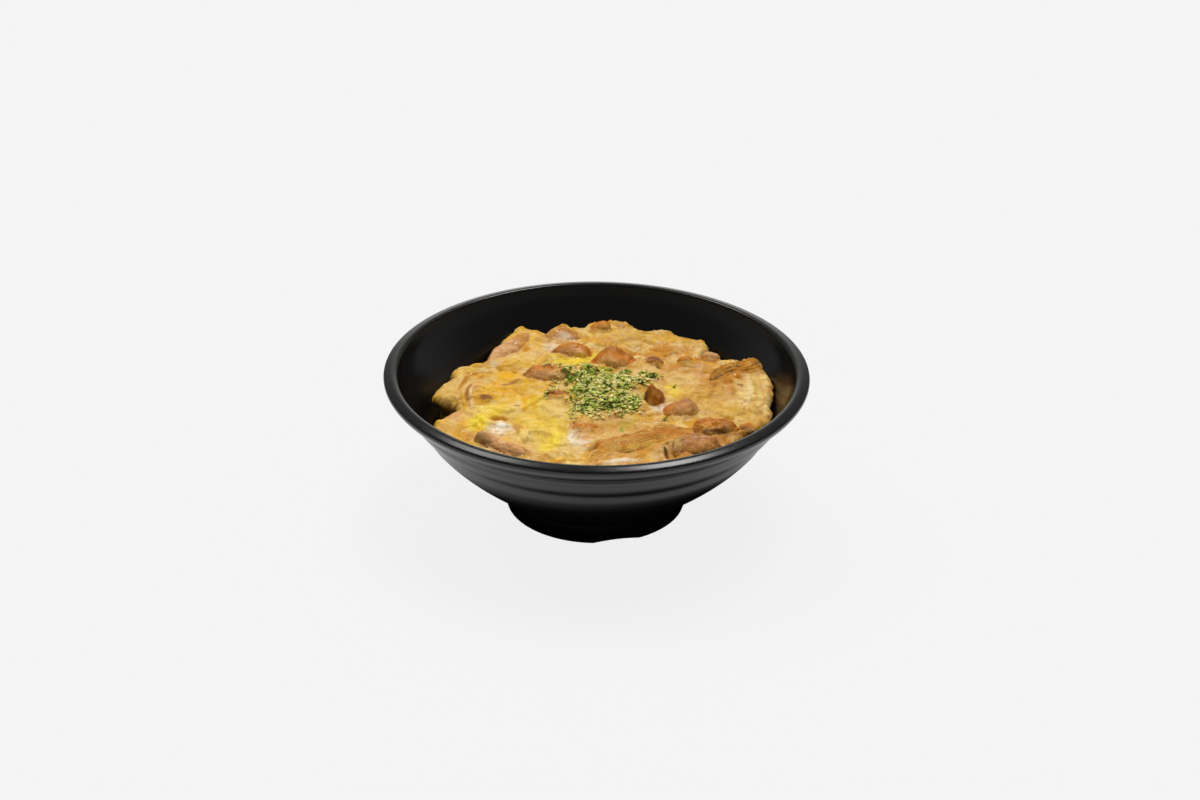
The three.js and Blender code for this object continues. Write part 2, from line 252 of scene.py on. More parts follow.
# Egg: the same dome, swells and uneven edge as the frame's egg
eggShape = {
    "centre": 61.6, "fall": 1.4, "radius": 81, "edgeReach": 5, "edgeDrop": 4, "cells": 286,
    "lobes": [(270, 5, 60), (344, 5, 6), (10, 7, 16), (35, -16, 7), (56, -5, 5), (70, -9.5, 6), (81, 1.5, 6),
              (97, -10, 5), (113, -13, 4.5), (118, 5, 4), (145, -22, 12.5), (170, -8, 8), (186, -2.2, 7),
              (195, -13, 5.5), (212, 5, 12)],  # direction, reach and width in degrees
    "frills": [(1.1, 3.2, 2.2), (0.8, 0.8, 6.4)], "frillFrom": 0.6, "frillRadius": 30, "edgeRelief": 0.3,
    "waves": [(0.5, 0.19, 0.11, 1), (0.45, -0.13, 0.24, 2.2)],  # height, turns along x and y, and start
    "swells": [(4, -8, 20, 1.6), (-62, -4, 13, 1.5), (-76, -8, 6, 1.6), (-46, -29, 5, -1.8), (15, 62, 9, 2.4),
               (42, 60, 10, 2), (72, 6, 13, 1.8), (22, 44, 6, -1.6), (29, -60, 6, 1.4), (36, -64, 3, -3)],
    "sideLevels": [(55, 1.5), (52.5, 3.2), (49.5, 3.4), (46, 2.8), (42, 1.5)],  # height, and how far in
    "sideBulge": 1.3, "sideBulgeSize": 4, "sideWander": 0.8, "sideWanderSize": 6, "sideNoiseRadius": 60,
    "leastStep": 0.2, "bedLevels": [39, 31, 23, 15.5], "bedGap": 0.8, "wallGap": 0.2,
    "filmClimb": 0.1, "filmWander": 0.8, "filmWanderSize": 4.5, "filmThick": 0.25, "filmFall": 1.6,
    "frontFilm": 2.0, "filmAt": 0.9, "filmWide": 0.35, "fullFilmFrom": 9,
    "collarReach": (1.6, 4.2), "collarHigh": 0.8, "calmReach": 3.0, "calm": 0.6, "dip": 0.6,
    "searchLift": 0.4, "searchReach": 8, "onionTrough": 0.2, "troughWide": 0.6,
    "paintedShadeUnderEdgeAt": (52.5, 57), "paintedShadeUnderEdge": 0.35,
}
# Folds and splits that can be told apart in the egg: path, half width, and height or depth
eggFolds = [
    ([(-62, 12), (-65, 5), (-66, -3), (-67, -12), (-71, -20)], 1.3, -1.5),
    ([(-60, 3), (-62.5, -3), (-63, -10), (-61, -18), (-57, -25)], 1.2, -1.6),
    ([(-60, 8), (-59, 2), (-60.5, -4)], 1.6, 0.8),
    ([(-50, -32), (-46, -31), (-41.5, -30)], 1.8, -2.4),
    ([(-4, -61), (0, -58.5), (4, -55)], 0.9, -2.2),
    ([(15, 41), (20, 41.5), (25, 39), (29, 41)], 1.5, -1.6),
    ([(-38, -45), (-36.5, -51), (-32, -57)], 1.1, -0.9),
    ([(33, -57), (33.5, -61), (33, -67)], 1.0, -2.6),
    ([(40, -49), (44, -46), (46, -42)], 1.0, -2.2),
    ([(-47, 4), (-42, 5), (-36, 4)], 1.5, -0.9),
    ([(48, -2), (52, -8), (56, -16)], 1.2, 0.5),
    ([(73, 20), (76, 8), (76, -4), (73, -16)], 1.6, 0.7),
    ([(79, 16), (80.5, 6), (80, -6), (77, -18)], 1.2, -0.6),
    ([(5, -50), (16, -46), (28, -40), (40, -36)], 1.6, 0.6),
    ([(24, -34), (36, -32), (50, -29)], 1.4, -0.5),
    ([(-30, -44), (-22, -46), (-14, -52)], 1.5, 0.6),
    ([(-58, 20), (-52, 17), (-47, 21)], 1.3, -0.7),
    ([(8, 57), (14, 53), (22, 55), (30, 50)], 1.5, -0.8),
    ([(36, 52), (44, 48), (52, 46)], 1.4, -0.7),
]


def eggEdge(angles):
    degrees = np.degrees(angles)
    radius = np.full_like(degrees, eggShape["radius"], float)
    for at, out, wide in eggShape["lobes"]:
        off = (degrees - at + 900) % 360 - 180
        radius += out * np.exp(-(off / wide) ** 2)
    return radius


def eggDome(x, y):
    z = eggShape["centre"] - eggShape["fall"] * (x * x + y * y) / eggShape["radius"] ** 2
    for high, alongX, alongY, start in eggShape["waves"]:
        z = z + high * np.sin(alongX * x + alongY * y + start)
    for atX, atY, wide, high in eggShape["swells"]:
        z = z + high * np.exp(-((x - atX) ** 2 + (y - atY) ** 2) / wide ** 2)
    return z


def awayFromPath(x, y, path, reach):  # distance to a curve, where within reach, and the share of its length
    line = smoothPath(path)
    low, high = line.min(0) - reach, line.max(0) + reach
    near = (x > low[0]) & (x < high[0]) & (y > low[1]) & (y < high[1])
    nearest, share = np.full_like(x, 1e3), np.zeros_like(x)
    closest, along = nearest[near], share[near]
    for i, (a, b) in enumerate(zip(line, line[1:])):
        step = b - a
        t = np.clip(((x[near] - a[0]) * step[0] + (y[near] - a[1]) * step[1]) / (step @ step), 0, 1)
        away = np.hypot(x[near] - a[0] - t * step[0], y[near] - a[1] - t * step[1])
        along = np.where(away < closest, (i + t) / (len(line) - 1), along)
        closest = np.minimum(away, closest)
    nearest[near], share[near] = closest, along
    return nearest, share


eggCurds = {
    "warp": 4, "warpSize": 14, "curd": 0.8, "curdSize": 13, "creaseSharpness": 2.6, "creaseLevel": 0.6,
    "lump": 0.45, "lumpSize": 5.5, "crumple": 0.05, "crumpleSize": 1.5, "streak": 0.07, "streakSize": (5, 2),
    "layers": [(18, 0.8, 3.1), (8, 0.5, 6.6)], "layerEdge": 0.08, "layerEdgeShade": 0.7,
    "shadedCreaseUpTo": 0.32, "shadedLayerAt": 0.3, "shadedLayerLevels": (0.45, 0.1),
    "ripple": 0.25, "rippleSize": 1.6, "rippleFrom": 56, "rippleGrows": 18, "rippleAcross": 9,
    "foldWander": 0.7, "foldWanderSize": 3.5, "foldEnds": 0.18, "foldEndDepth": 0.25,
}


def flatPoints(x, y):
    return np.stack([x, y, np.zeros_like(x)], 1)


def smoothPath(path):  # seen from above
    return np.array([p[:2] for p in curvePoints([(x, y, 0) for x, y in path], 6)])


def warped(flat, far, size, shift=3.7):
    return flat + far * np.stack([noiseAt(flat, size, 2, shift), noiseAt(flat, size, 2, shift + 5.5),
                                  np.zeros(len(flat))], 1)


def ripples(x, y):  # fine lines that run round the bowl near the edge
    c, radius = eggCurds, np.hypot(x, y)
    across = c["rippleAcross"] / np.maximum(radius, 1)
    turned = np.stack([radius, across * x, across * y], 1)
    grown = smoothStep(c["rippleFrom"], c["rippleFrom"] + c["rippleGrows"], radius)
    return noiseAt(turned, c["rippleSize"], 2, 4.2) * grown


def streaks(bent):  # set egg pulled into fine strands, mostly from side to side
    long, fine = eggCurds["streakSize"]
    return noiseAt(bent / (long, fine, 1), 1, 3, 11.3)


# Besides the relief it gives a mask of painted shade, with broth stain, in the creases, folds and along torn
# layer edges, and the lumps noise
def eggRelief(x, y):  # soft curds with creases between them, torn layers, folds and a fine crumpling
    c, flat = eggCurds, flatPoints(x, y)
    bent = warped(flat, c["warp"], c["warpSize"])
    creases = np.minimum(np.abs(noiseAt(bent, c["curdSize"], 2, 1.3)) * c["creaseSharpness"], 1)
    relief = c["curd"] * (creases - c["creaseLevel"])
    creaseStainAndShade = smoothStep(c["shadedCreaseUpTo"], 0, creases)
    for size, high, shift in c["layers"]:
        level = smoothStep(-c["layerEdge"], c["layerEdge"], noiseAt(bent, size, 3, shift))
        relief += high * (level - 0.5)
        foot = smoothStep(*c["shadedLayerLevels"], np.abs(level - c["shadedLayerAt"]))  # painted shade at the foot of the layer's torn edge
        creaseStainAndShade = creaseStainAndShade + c["layerEdgeShade"] * foot
    lumps = noiseAt(bent, c["lumpSize"], 3, 5.1)
    relief += c["lump"] * lumps + c["crumple"] * noiseAt(flat, c["crumpleSize"], 2, 2.9)
    relief += c["streak"] * streaks(bent) + c["ripple"] * ripples(x, y)
    wander = c["foldWander"] * noiseAt(flat, c["foldWanderSize"], 2, 7.7)
    folded = np.zeros_like(x)
    for path, wide, high in eggFolds:
        away, share = awayFromPath(x + wander, y + wander, path, 4 * wide)
        ends = smoothStep(0, c["foldEnds"], share) * smoothStep(0, c["foldEnds"], 1 - share)
        depth = high * (c["foldEndDepth"] + (1 - c["foldEndDepth"]) * ends)
        folded += depth * np.exp(-(away / wide) ** 2)
    return relief + folded, np.clip(creaseStainAndShade + np.clip(-folded / 2, 0, 1), 0, 1), lumps


# Chicken, as the frame has it: middle, size, turn and lean in degrees, how far it is sunk, and a peak on
# some. Then the tones of its lower side and top, how crumpled it is, how strongly broth stain and painted
# shade darken its creases (with painted highlight on the folds between), how far egg covers its front
# (film), and how much its tone fades into the egg's at the front (fade) and all round (soft)
chicken = [
    {"node": "chicken_back_long", "at": (-44.5, 42.5), "size": (33, 11, 11), "turn": 60, "lean": 3, "sunk": 1,
     "tones": ("pink", "pink"), "crumpled": 0.6},
    {"node": "chicken_back_pale", "at": (-18, 57), "size": (18, 12, 11), "turn": 6, "sunk": 0.8,
     "tones": ("pink", "blush"), "brothAndShadeInCreases": 0.05},
    {"node": "chicken_back_top", "at": (2, 67), "size": (11, 8, 9), "turn": 0, "sunk": 0.4,
     "tones": ("blush", "orange")},
    {"node": "chicken_oval", "at": (-12.5, 39), "size": (19.5, 12, 11), "turn": 4, "sunk": 1.4,
     "tones": ("pink", "orange"), "crumpled": 0.6, "brothAndShadeInCreases": 0.05, "film": 0.4},
    {"node": "chicken_fin", "at": (8, 30), "size": (20, 16, 10), "turn": -8, "sunk": 1.4, "peak": 2.8,
     "tones": ("blush", "orange"), "crumpled": 0.8, "brothAndShadeInCreases": 0.1, "film": 0.5},
    {"node": "chicken_glossy", "at": (-24, 13), "size": (23, 13, 11), "turn": 4, "sunk": 0.8,
     "tones": ("pink", "orange"), "brothAndShadeInCreases": 0.1, "film": 0.3},
    {"node": "chicken_upright", "at": (28, -11.5), "size": (9.5, 13, 11), "turn": 10, "sunk": 1, "peak": 2.8,
     "crumpled": 1.5, "tones": ("toast", "sienna"), "brothAndShadeInCreases": 0.05, "soft": 0.1, "film": 0.1, "fade": 0.2},
    {"node": "chicken_pink", "at": (40.5, -22), "size": (17, 13, 10), "turn": 10, "sunk": 0.8, "peak": 2,
     "peakAt": 0.35, "tones": ("blush", "mauve"), "brothAndShadeInCreases": 0.1, "film": 0.7},
    {"node": "chicken_dark", "at": (-19, -8), "size": (12, 8, 6), "turn": -16, "sunk": 1.2,
     "crumpled": 2.5, "tones": ("orange", "toast"), "brothAndShadeInCreases": 0.3},
    {"node": "chicken_rim_left", "at": (-43, -59), "size": (28, 9, 9), "turn": -27, "sunk": 1.2, "peak": 5,
     "peakAt": -0.75, "crumpled": 1.5, "tones": ("pink", "pink"), "brothAndShadeInCreases": 0.05, "film": 0.3, "fade": 0.5},
    {"node": "chicken_rim_right", "at": (56.4, -39.8), "size": (19, 15, 11.5), "turn": -4, "sunk": 1,
     "crumpled": 3, "tones": ("tan", "orange"), "brothAndShadeInCreases": 0.25, "film": 0.5},
    {"node": "chicken_rim_wedge", "at": (71.2, -39), "size": (9, 8.5, 8), "turn": 40, "sunk": 1.2,
     "crumpled": 1.5, "tones": ("tan", "orange"), "brothAndShadeInCreases": 0.2},
    {"node": "chicken_rim_front", "at": (46, -57.5), "size": (24, 16, 12), "turn": 8, "sunk": 1.6,
     "crumpled": 2, "tones": ("blush", "mauve"), "brothAndShadeInCreases": 0.2, "film": 0.5, "fade": 0.6},
    {"node": "chicken_bit_dark", "at": (29, 30.5), "size": (9, 6, 6), "turn": -15, "sunk": 0.9,
     "crumpled": 2, "tones": ("toast", "umber"), "brothAndShadeInCreases": 0.3},
    {"node": "chicken_bit_back", "at": (44, 32), "size": (8, 6, 6), "turn": 8, "sunk": 0.8,
     "crumpled": 2, "tones": ("umber", "orange")},
    {"node": "chicken_bit_pink", "at": (57, 35.5), "size": (9, 7, 7), "turn": -8, "sunk": 0.4,
     "crumpled": 2, "tones": ("mauve", "pink")},
    {"node": "chicken_bit_left", "at": (-53, -13), "size": (7, 5, 5), "turn": 0, "sunk": 1.2,
     "crumpled": 2, "tones": ("umber", "rust")},
    {"node": "chicken_bit_front", "at": (-5, -41), "size": (12, 7, 6), "turn": 14, "sunk": 1.2,
     "crumpled": 2, "tones": ("tan", "orange")},
]
chickenLook = {
    "boxiness": 2.4, "unevenness": 0.07, "peakAt": -0.2, "peakWide": 0.4, "bulge": 0.9, "bulgeSize": 6,
    "wrinkle": 0.16, "wrinkleSize": 4.4, "wrinkleLevel": 0.5, "wrinkleDepth": 1.6,
    "fibre": 0.1, "fibreSize": 0.9, "fullFrom": 6, "largeFrom": 15, "largeDetail": 6, "smallDetail": 5,
}


def chickenLump(piece, look):
    bm = bmesh.new()
    detail = look["largeDetail"] if piece["size"][0] > look["largeFrom"] else look["smallDetail"]
    bmesh.ops.create_icosphere(bm, subdivisions=detail, radius=1)
    ball = pointsOf(bm)
    u, v, w = ball.T
    long, wide, high = (size / 2 for size in piece["size"])
    phase = sum(piece["at"])
    norm = (np.abs(ball) ** look["boxiness"]).sum(1) ** (1 / look["boxiness"])
    uneven = 1 + look["unevenness"] * (np.sin(3 * u + phase) + np.sin(4 * v - 2 * w + 2 * phase))
    offPeak = (u - piece.get("peakAt", look["peakAt"])) / look["peakWide"]
    shape = ball * (uneven / norm)[:, None] * (long, wide, high)
    shape[:, 2] += piece.get("peak", 0) * np.maximum(w, 0) * np.exp(-offPeak ** 2)
    small = min(1, wide / look["fullFrom"])  # small pieces have shallower folds
    bulges = look["bulge"] * noiseAt(shape + phase, look["bulgeSize"], 2)
    creases = np.abs(noiseAt(shape + phase, look["wrinkleSize"], 3))
    folds = look["wrinkleLevel"] - look["wrinkleDepth"] * creases
    folds *= piece.get("crumpled", 1) * look["wrinkle"]
    piece["creases"] = creases
    fibres = look["fibre"] * noiseAt(shape * (0.3, 1, 1) + phase, look["fibreSize"], 2)
    shape += ball * (small * (bulges + folds) + fibres)[:, None]
    movePoints(bm, shape)
    middle = (*piece["at"], float(eggDome(*piece["at"])) - piece["sunk"])
    turned = Matrix.Rotation(math.radians(piece["turn"]), 4, "Z") @ Matrix.Rotation(
        -math.radians(piece.get("lean", 0)), 4, "Y")
    bmesh.ops.transform(bm, matrix=Matrix.Translation(middle) @ turned, verts=bm.verts)
    return bm


# Onion strips: path seen from above, height over the dome at each point, width and roll to one side. Then how
# much of the front the egg covers, and the tones
onions = [
    {"node": "onion_right", "path": [(57, 8), (65, 15.5), (73, 21.5), (81, 26.5)], "rise": [1, 2, 2.6, 3.2],
     "wide": 10, "roll": 26, "film": 1.2, "tones": ("olive", "amber"), "edge": "honey"},
    {"node": "onion_front", "path": [(3, -58), (16, -53), (31, -47), (46, -42)], "rise": [0.3, 1.4, 1.4, 0.5],
     "wide": 7.5, "roll": 22, "film": 0.2, "tones": ("tan", "orange"), "edge": "toast"},
    {"node": "onion_rim", "path": [(-2, -66), (10, -61), (21, -57.5), (30, -55)], "rise": [0.4, 1, 0.8, 0.4],
     "wide": 5, "roll": 24, "film": 0.2, "tones": ("tan", "straw"), "edge": "toast"},
]
onionLook = {"thick": 0.9, "crown": 0.3, "along": 40, "across": 18, "vein": 0.12, "veinCount": 17,
             "wave": 0.4, "waveCount": 5, "torn": 0.16, "tearCount": 15, "crimp": 0.3, "crimpCount": 14,
             "bluntness": 0.25}


def onionStrip(strip, look):
    points = [(x, y, float(eggDome(x, y)) + rise) for (x, y), rise in zip(strip["path"], strip["rise"])]
    line = curvePoints(points, look["along"])
    bm = bmesh.new()
    bmesh.ops.create_grid(bm, x_segments=len(line) - 1, y_segments=look["across"], size=1)
    roll, last, blunt = math.radians(strip["roll"]), len(line) - 1, look["bluntness"]
    for v in bm.verts:
        i = min(round((v.co.x + 1) / 2 * last), last)
        ahead = (line[min(i + 1, last)] - line[max(i - 1, 0)]).normalized()
        side = Vector((-ahead.y, ahead.x, 0)).normalized()
        across = side * math.cos(roll) + Vector((0, 0, math.sin(roll)))
        up = ahead.cross(across).normalized()
        share, reach = i / last, v.co.y
        taper = math.sqrt(max(0, 1 - abs(2 * share - 1) ** 6)) * (1 - blunt) + blunt
        bent = 2 * noise.noise(Vector((share * 3, reach, 0)))
        veins = look["vein"] * math.sin(reach * look["veinCount"] + bent)
        wave = look["wave"] * noise.noise(Vector((share * look["waveCount"], reach * 0.7, strip["wide"])))
        lift = look["crown"] * (1 - reach ** 2) + veins + wave
        tear = Vector((share * look["tearCount"], 2 * math.copysign(1, reach), 5))
        ragged = 1 + look["torn"] * noise.fractal(tear, 1.0, 2.0, 3)
        crimp = Vector((share * look["crimpCount"], reach, 1))
        lift += look["crimp"] * abs(reach) * noise.fractal(crimp, 1.0, 2.0, 2)
        v.co = line[i] + across * reach * strip["wide"] / 2 * taper * ragged + up * lift
    bmesh.ops.solidify(bm, geom=bm.faces, thickness=look["thick"])
    bmesh.ops.recalc_face_normals(bm, faces=bm.faces)
    return bm


lumps = [(piece, chickenLump(piece, chickenLook)) for piece in chicken]
strips = [(strip, onionStrip(strip, onionLook)) for strip in onions]
print("chicken and onion shaped")

# Tones of the food. Brown, rust, umber, toast and amber also serve as painted shade, and cream and tan as
# painted highlight
tones = {
    "cream": "#EFD084", "straw": "#DAAE46", "lemon": "#F6DA42", "yolk": "#ECB416", "amber": "#C98420",
    "tan": "#D6A24E", "honey": "#C78F3E", "rust": "#8C4E14", "brown": "#44260A", "white": "#F4E8D2",
    "pink": "#E2AC74", "blush": "#CC8C48", "orange": "#CB7C22", "sienna": "#A86018", "toast": "#B06C24",
    "umber": "#864C18", "mauve": "#B07440", "olive": "#80581A", "leaf": "#C0B444",
}
# Where they lie as soft patches: tone, middle, half widths across and up the picture, turn, strength
eggPatches = [
    ("lemon", -38, -30, 22, 18, 10, 0.4), ("cream", -24, -52, 18, 12, 0, 0.6),
    ("yolk", -40, 4, 17, 13, 0, 0.45), ("straw", 20, 60, 22, 9, 0, 0.5), ("straw", 48, 53, 12, 6, -15, 0.5),
    ("cream", 75, 0, 9, 22, 0, 0.85), ("straw", 66, -24, 14, 7, 10, 0.5),
    ("straw", -70, -5, 10, 22, 0, 0.5), ("honey", 50, 16, 18, 16, 0, 0.45),
    ("orange", 22, 38, 16, 4, -8, 0.45), ("cream", -8, -30, 14, 7, 0, 0.5),
    ("honey", 18, -46, 22, 6, 12, 0.5), ("honey", 50, -6, 14, 12, 0, 0.45),
    ("cream", 62, -12, 9, 5, 10, 0.5), ("lemon", -20, 32, 5, 3, 0, 0.5), ("honey", 30, 16, 10, 8, 0, 0.4),
    ("straw", 15, 60, 10, 8, 0, 0.5), ("honey", 14, 57, 6, 4, 0, 0.4), ("cream", -25, -59, 6, 5, 0, 0.7),
    ("yolk", -49, -6, 9, 8, 0, 0.6), ("cream", -68, 6, 4, 8, -10, 0.5), ("orange", -4, -41, 9, 5, 0, 0.65),
    ("honey", 10, -38, 12, 5, 5, 0.6), ("tan", -52, -52, 14, 4, -25, 0.5),
    ("lemon", -8, 36, 10, 4, 10, 0.6), ("honey", 0, -34, 14, 6, 0, 0.35), ("lemon", 10, 26, 6, 3, 0, 0.5),
    ("lemon", -12, 28, 8, 4, 0, 0.6), ("lemon", 38, -2, 4, 7, 10, 0.6), ("lemon", -30, -48, 7, 6, 0, 0.5),
    ("cream", -70, -2, 6, 18, -18, 0.6), ("tan", -58, 14, 7, 6, 0, 0.5), ("pink", -60, 0, 3, 9, 8, 0.5),
    ("straw", -74, -8, 5, 9, -20, 0.6), ("tan", -70, -24, 4, 6, 0, 0.7), ("yolk", -43, 14, 5, 5.5, 0, 0.8),
    ("lemon", -31, -17, 5, 8, 12, 0.7), ("white", -45, -41, 5, 7, -10, 0.9),
    ("lemon", -56, -33, 4.5, 8, -20, 0.8), ("yolk", -54, -40, 3, 4, 0, 0.6),
    ("amber", -60, -47, 5, 4, 20, 0.7), ("tan", -70, -40, 6, 5, 0, 0.6), ("tan", -37, -42, 2, 4, 0, 0.7),
    ("lemon", -22, -54, 6, 8, 15, 0.7), ("cream", -33, -50, 6, 6, 0, 0.7), ("white", -9, -50, 4, 9, 5, 0.6),
    ("pink", -4, -52, 3, 5, 0, 0.6), ("straw", -22, -40, 9, 7, 0, 0.5), ("cream", -20, -22, 7, 8, 0, 0.5),
    ("lemon", -5, 36, 7, 5, 20, 0.9), ("lemon", -14, 30, 6, 3, 10, 0.7), ("white", -22, 45, 4, 7, 0, 0.6),
    ("cream", -42, 36, 7, 6, 0, 0.6), ("straw", -42, 26, 6, 6, 0, 0.6), ("cream", -31, 40, 6, 9, 0, 0.5),
    ("amber", 4, 52, 4, 6, 0, 0.6), ("cream", 12, 63, 8, 4, 0, 0.4), ("cream", 19, 52, 5, 4, 0, 0.5),
    ("amber", 31, 42, 4, 4, 0, 0.7), ("amber", 36, 46, 3, 4, 0, 0.6), ("yolk", 36, 56, 5, 4, 0, 0.5),
    ("cream", 51, 50, 7, 4, -10, 0.45), ("tan", 45, 44, 8, 3, -5, 0.5), ("pink", 52, 15, 6, 4, 0, 0.7),
    ("amber", 66, 10, 7, 5, 20, 0.8), ("amber", 65, -2, 4, 3, 0, 0.5), ("cream", 78, 0, 5, 20, 0, 0.75),
    ("white", 31, -18, 3, 5, 0, 0.85), ("lemon", 37, -5, 3, 6, 10, 0.7), ("cream", 67, -25, 5, 3, 0, 0.6),
    ("tan", 52, -4, 10, 12, 0, 0.5), ("leaf", 14, -36, 4.5, 6, 0, 0.6), ("tan", 30, -34, 8, 5, 0, 0.4),
    ("straw", 76, -28, 7, 4, 20, 0.6), ("amber", 22, -61, 9, 3, 15, 0.6), ("pink", 29, -65, 4, 4, 0, 0.6),
    ("amber", 37, 20, 5, 5, 0, 0.5), ("tan", 58, -10, 8, 6, 0, 0.4), ("leaf", 4, -8, 20, 25, 0, 0.5),
    ("pink", 7, -30, 10, 4, 0, 0.5), ("straw", -33, -2, 9, 5, 0, 0.4), ("pink", -68, -26, 5, 6, 0, 0.6),
    ("cream", 42, 8, 8, 6, 0, 0.5), ("tan", 14, -42, 14, 4, 12, 0.6), ("cream", -58, -24, 6, 5, 0, 0.6),
    ("straw", 60, -20, 14, 8, 0, 0.5), ("cream", 24, 20, 10, 7, 0, 0.5), ("lemon", -22, -36, 8, 8, 0, 0.6),
    ("cream", -38, -22, 8, 7, 0, 0.6), ("lemon", -50, -22, 8, 5, -10, 0.5),
    ("cream", -14, -58, 6, 8, 0, 0.6), ("orange", 63, 9, 8, 5, 30, 0.75),
    ("toast", 60, 11, 6, 3.5, 30, 0.7), ("umber", 56, -33, 9, 3, 0, 0.5), ("toast", 52, -48, 9, 4, 0, 0.5),
    ("rust", 63, -46, 6, 3, 20, 0.7), ("orange", 38, 27, 7, 4, 0, 0.4), ("cream", 33, -12, 4, 5, 0, 0.5),
    ("cream", 40, 14, 9, 4, 0, 0.5), ("straw", 44, -4, 12, 9, 0, 0.4), ("cream", 8, -44, 10, 4, 0, 0.4),
]
# and where they run along a line: tone, path, half width, strength. Some brown and rust lines are painted
# shade, in slits, cracks and folds and beneath pieces
eggStrokesAndShadeLines = [
    ("rust", [(-10, -38), (-9, -42), (-7, -44)], 0.7, 0.6),
    ("toast", [(2, -37), (4, -41), (3, -44)], 0.8, 0.5),
    ("amber", [(-67, -4), (-66, 2), (-64.5, 9), (-62, 15), (-59, 17.5)], 1.2, 0.8),
    ("cream", [(-65, -9), (-64.3, -3), (-63.2, 4), (-60, 10)], 0.9, 0.6),
    # painted shade: the rust line darkens the fold at the left
    ("rust", [(-62.3, -13), (-63, -6.6), (-62, -0.7), (-60.4, 3.5)], 0.8, 0.9),
    ("white", [(-58.5, -21.6), (-60.4, -14.7), (-60.8, -7.7), (-60.1, -0.6), (-58, 3)], 1.0, 0.35),
    # painted shade: the rust and brown lines darken the slot that the small piece on the left sits in
    ("rust", [(-57, -10), (-53.1, -12), (-49, -10.5)], 1.4, 0.8),
    ("brown", [(-54.5, -12), (-52, -12.5)], 0.9, 0.8), ("amber", [(-56, -15.5), (-52.4, -17)], 1.0, 0.7),
    ("rust", [(-46.3, 4.4), (-42.5, 5.1), (-38.8, 7), (-36, 7.6)], 1.1, 0.75),
    ("yolk", [(-47, 11.6), (-43.4, 14), (-38.7, 13)], 2.2, 0.9),
    ("yolk", [(-34.2, -8.3), (-34.3, -16.5), (-33.5, -23.3)], 1.6, 0.9),
    ("yolk", [(-31, -8.3), (-29.6, -22)], 1.3, 0.8),
    ("amber", [(-51, -32), (-47.5, -31.6), (-44.4, -30.1), (-41.2, -31.5)], 2.2, 0.9),
    ("brown", [(-50, -32.2), (-46, -31.2), (-42.5, -30.8)], 0.9, 0.85),
    ("lemon", [(-60, -31), (-54.8, -32.8), (-53, -40)], 2.8, 0.9),
    ("white", [(-49, -41.7), (-45, -38.2), (-40.8, -40.4)], 2.4, 0.9),
    ("amber", [(-39, -40), (-37, -37), (-35.5, -41)], 1.2, 0.6),
    ("lemon", [(-25, -63), (-20.2, -52), (-15.6, -43)], 3.6, 0.85),
    ("white", [(-12.5, -44), (-11.3, -51.9), (-7.2, -55), (-2, -52.5)], 1.5, 0.85),
    ("tan", [(-10, -55), (-8.5, -48), (-7, -45)], 0.8, 0.5),
    # painted shade: the brown line darkens the split in front
    ("brown", [(-2.5, -60.4), (1.1, -58.1), (4.8, -55)], 0.8, 0.95),
    ("lemon", [(-10.5, 31.5), (-5.4, 35.9), (2, 37.8)], 2.8, 0.9),
    ("amber", [(-42.5, 52), (-40, 54.2), (-36, 46), (-35, 42)], 2.0, 0.9),
    ("brown", [(-38.5, 50.5), (-37, 48.7)], 0.9, 0.8),
    # painted shade: the rust line darkens the crease in front of the mound at the back
    ("rust", [(14, 39), (18.3, 41), (22.2, 39.3), (26, 37)], 0.9, 0.9),
    ("cream", [(15.5, 34), (22.6, 34)], 2.4, 0.8),
    ("rust", [(25.4, 30.3), (27.5, 35.3), (32, 34.5)], 1.3, 0.8),
    # painted shadow beneath the small piece at the back
    ("brown", [(43, 27), (45.5, 25.6), (48.4, 24.8)], 1.1, 0.95),
    ("brown", [(30, 26), (31.6, 24.9)], 0.9, 0.9),
    ("amber", [(33, 38), (37, 41.5), (43, 41.5), (50, 40)], 1.1, 0.75),
    ("amber", [(58.4, 12), (64.3, 11), (70.2, 9)], 2.8, 0.8),
    ("brown", [(66.2, -2.6), (67, -3.2)], 0.8, 0.95),
    ("rust", [(68.5, 3.6), (70.2, 2.4), (70.4, 0.2)], 0.7, 0.8),
    ("tan", [(79.5, 14), (81, 4), (80.7, -9), (78.5, -22)], 0.9, 0.7),
    ("straw", [(76, 17), (77.5, 5), (77, -9), (75, -20)], 1.0, 0.7),
    ("white", [(73, 14), (74.6, 4), (74, -8), (71, -18)], 1.4, 0.2),
    ("rust", [(1.8, -54.5), (17.4, -49.4), (33, -42.6), (46, -39.5)], 1.0, 0.7),
    ("amber", [(1.9, -58.5), (17.3, -53.5), (30.8, -48), (43.5, -43.5)], 2.6, 0.85),
    ("rust", [(-1, -63.5), (6, -60.5), (17.3, -56.7), (30.8, -52.1)], 1.1, 0.75),
    ("tan", [(-4, -69), (1.9, -67.8), (12, -64.4), (23.5, -60.9)], 1.8, 0.7),
    ("amber", [(-3, -72), (5, -69.7), (15, -66.5)], 1.2, 0.6),
    # painted shade: brown in the crack left of the front piece and in the gaps between the pieces at the
    # front right
    ("brown", [(31.6, -59), (32.6, -63), (32.8, -68)], 1.2, 0.95),
    ("brown", [(29.2, -57.6), (34.9, -54.2), (41.3, -48)], 1.0, 0.85),
    ("brown", [(43, -49), (46, -46), (49, -45)], 1.3, 0.9),
    ("white", [(6, -73), (12, -71), (20, -68)], 1.8, 0.8), ("cream", [(24, -66), (29, -63.5)], 2, 0.7),
    ("rust", [(26, -32), (29.6, -34.2), (32.8, -31.6)], 0.6, 0.7),
    ("rust", [(25, -35), (28, -36.5)], 0.5, 0.6),
    ("rust", [(-22, -1), (-23.5, -8), (-21, -12.5)], 1.1, 0.7),
    # painted shadow: the brown line along the far side of the dark piece
    ("brown", [(-23.5, 2.6), (-20.8, 2), (-18, 2.9)], 0.8, 0.9),
    ("rust", [(-24.5, -12.3), (-21, -14)], 0.9, 0.8), ("rust", [(-39.5, -18.7), (-36.5, -19)], 0.7, 0.8),
]
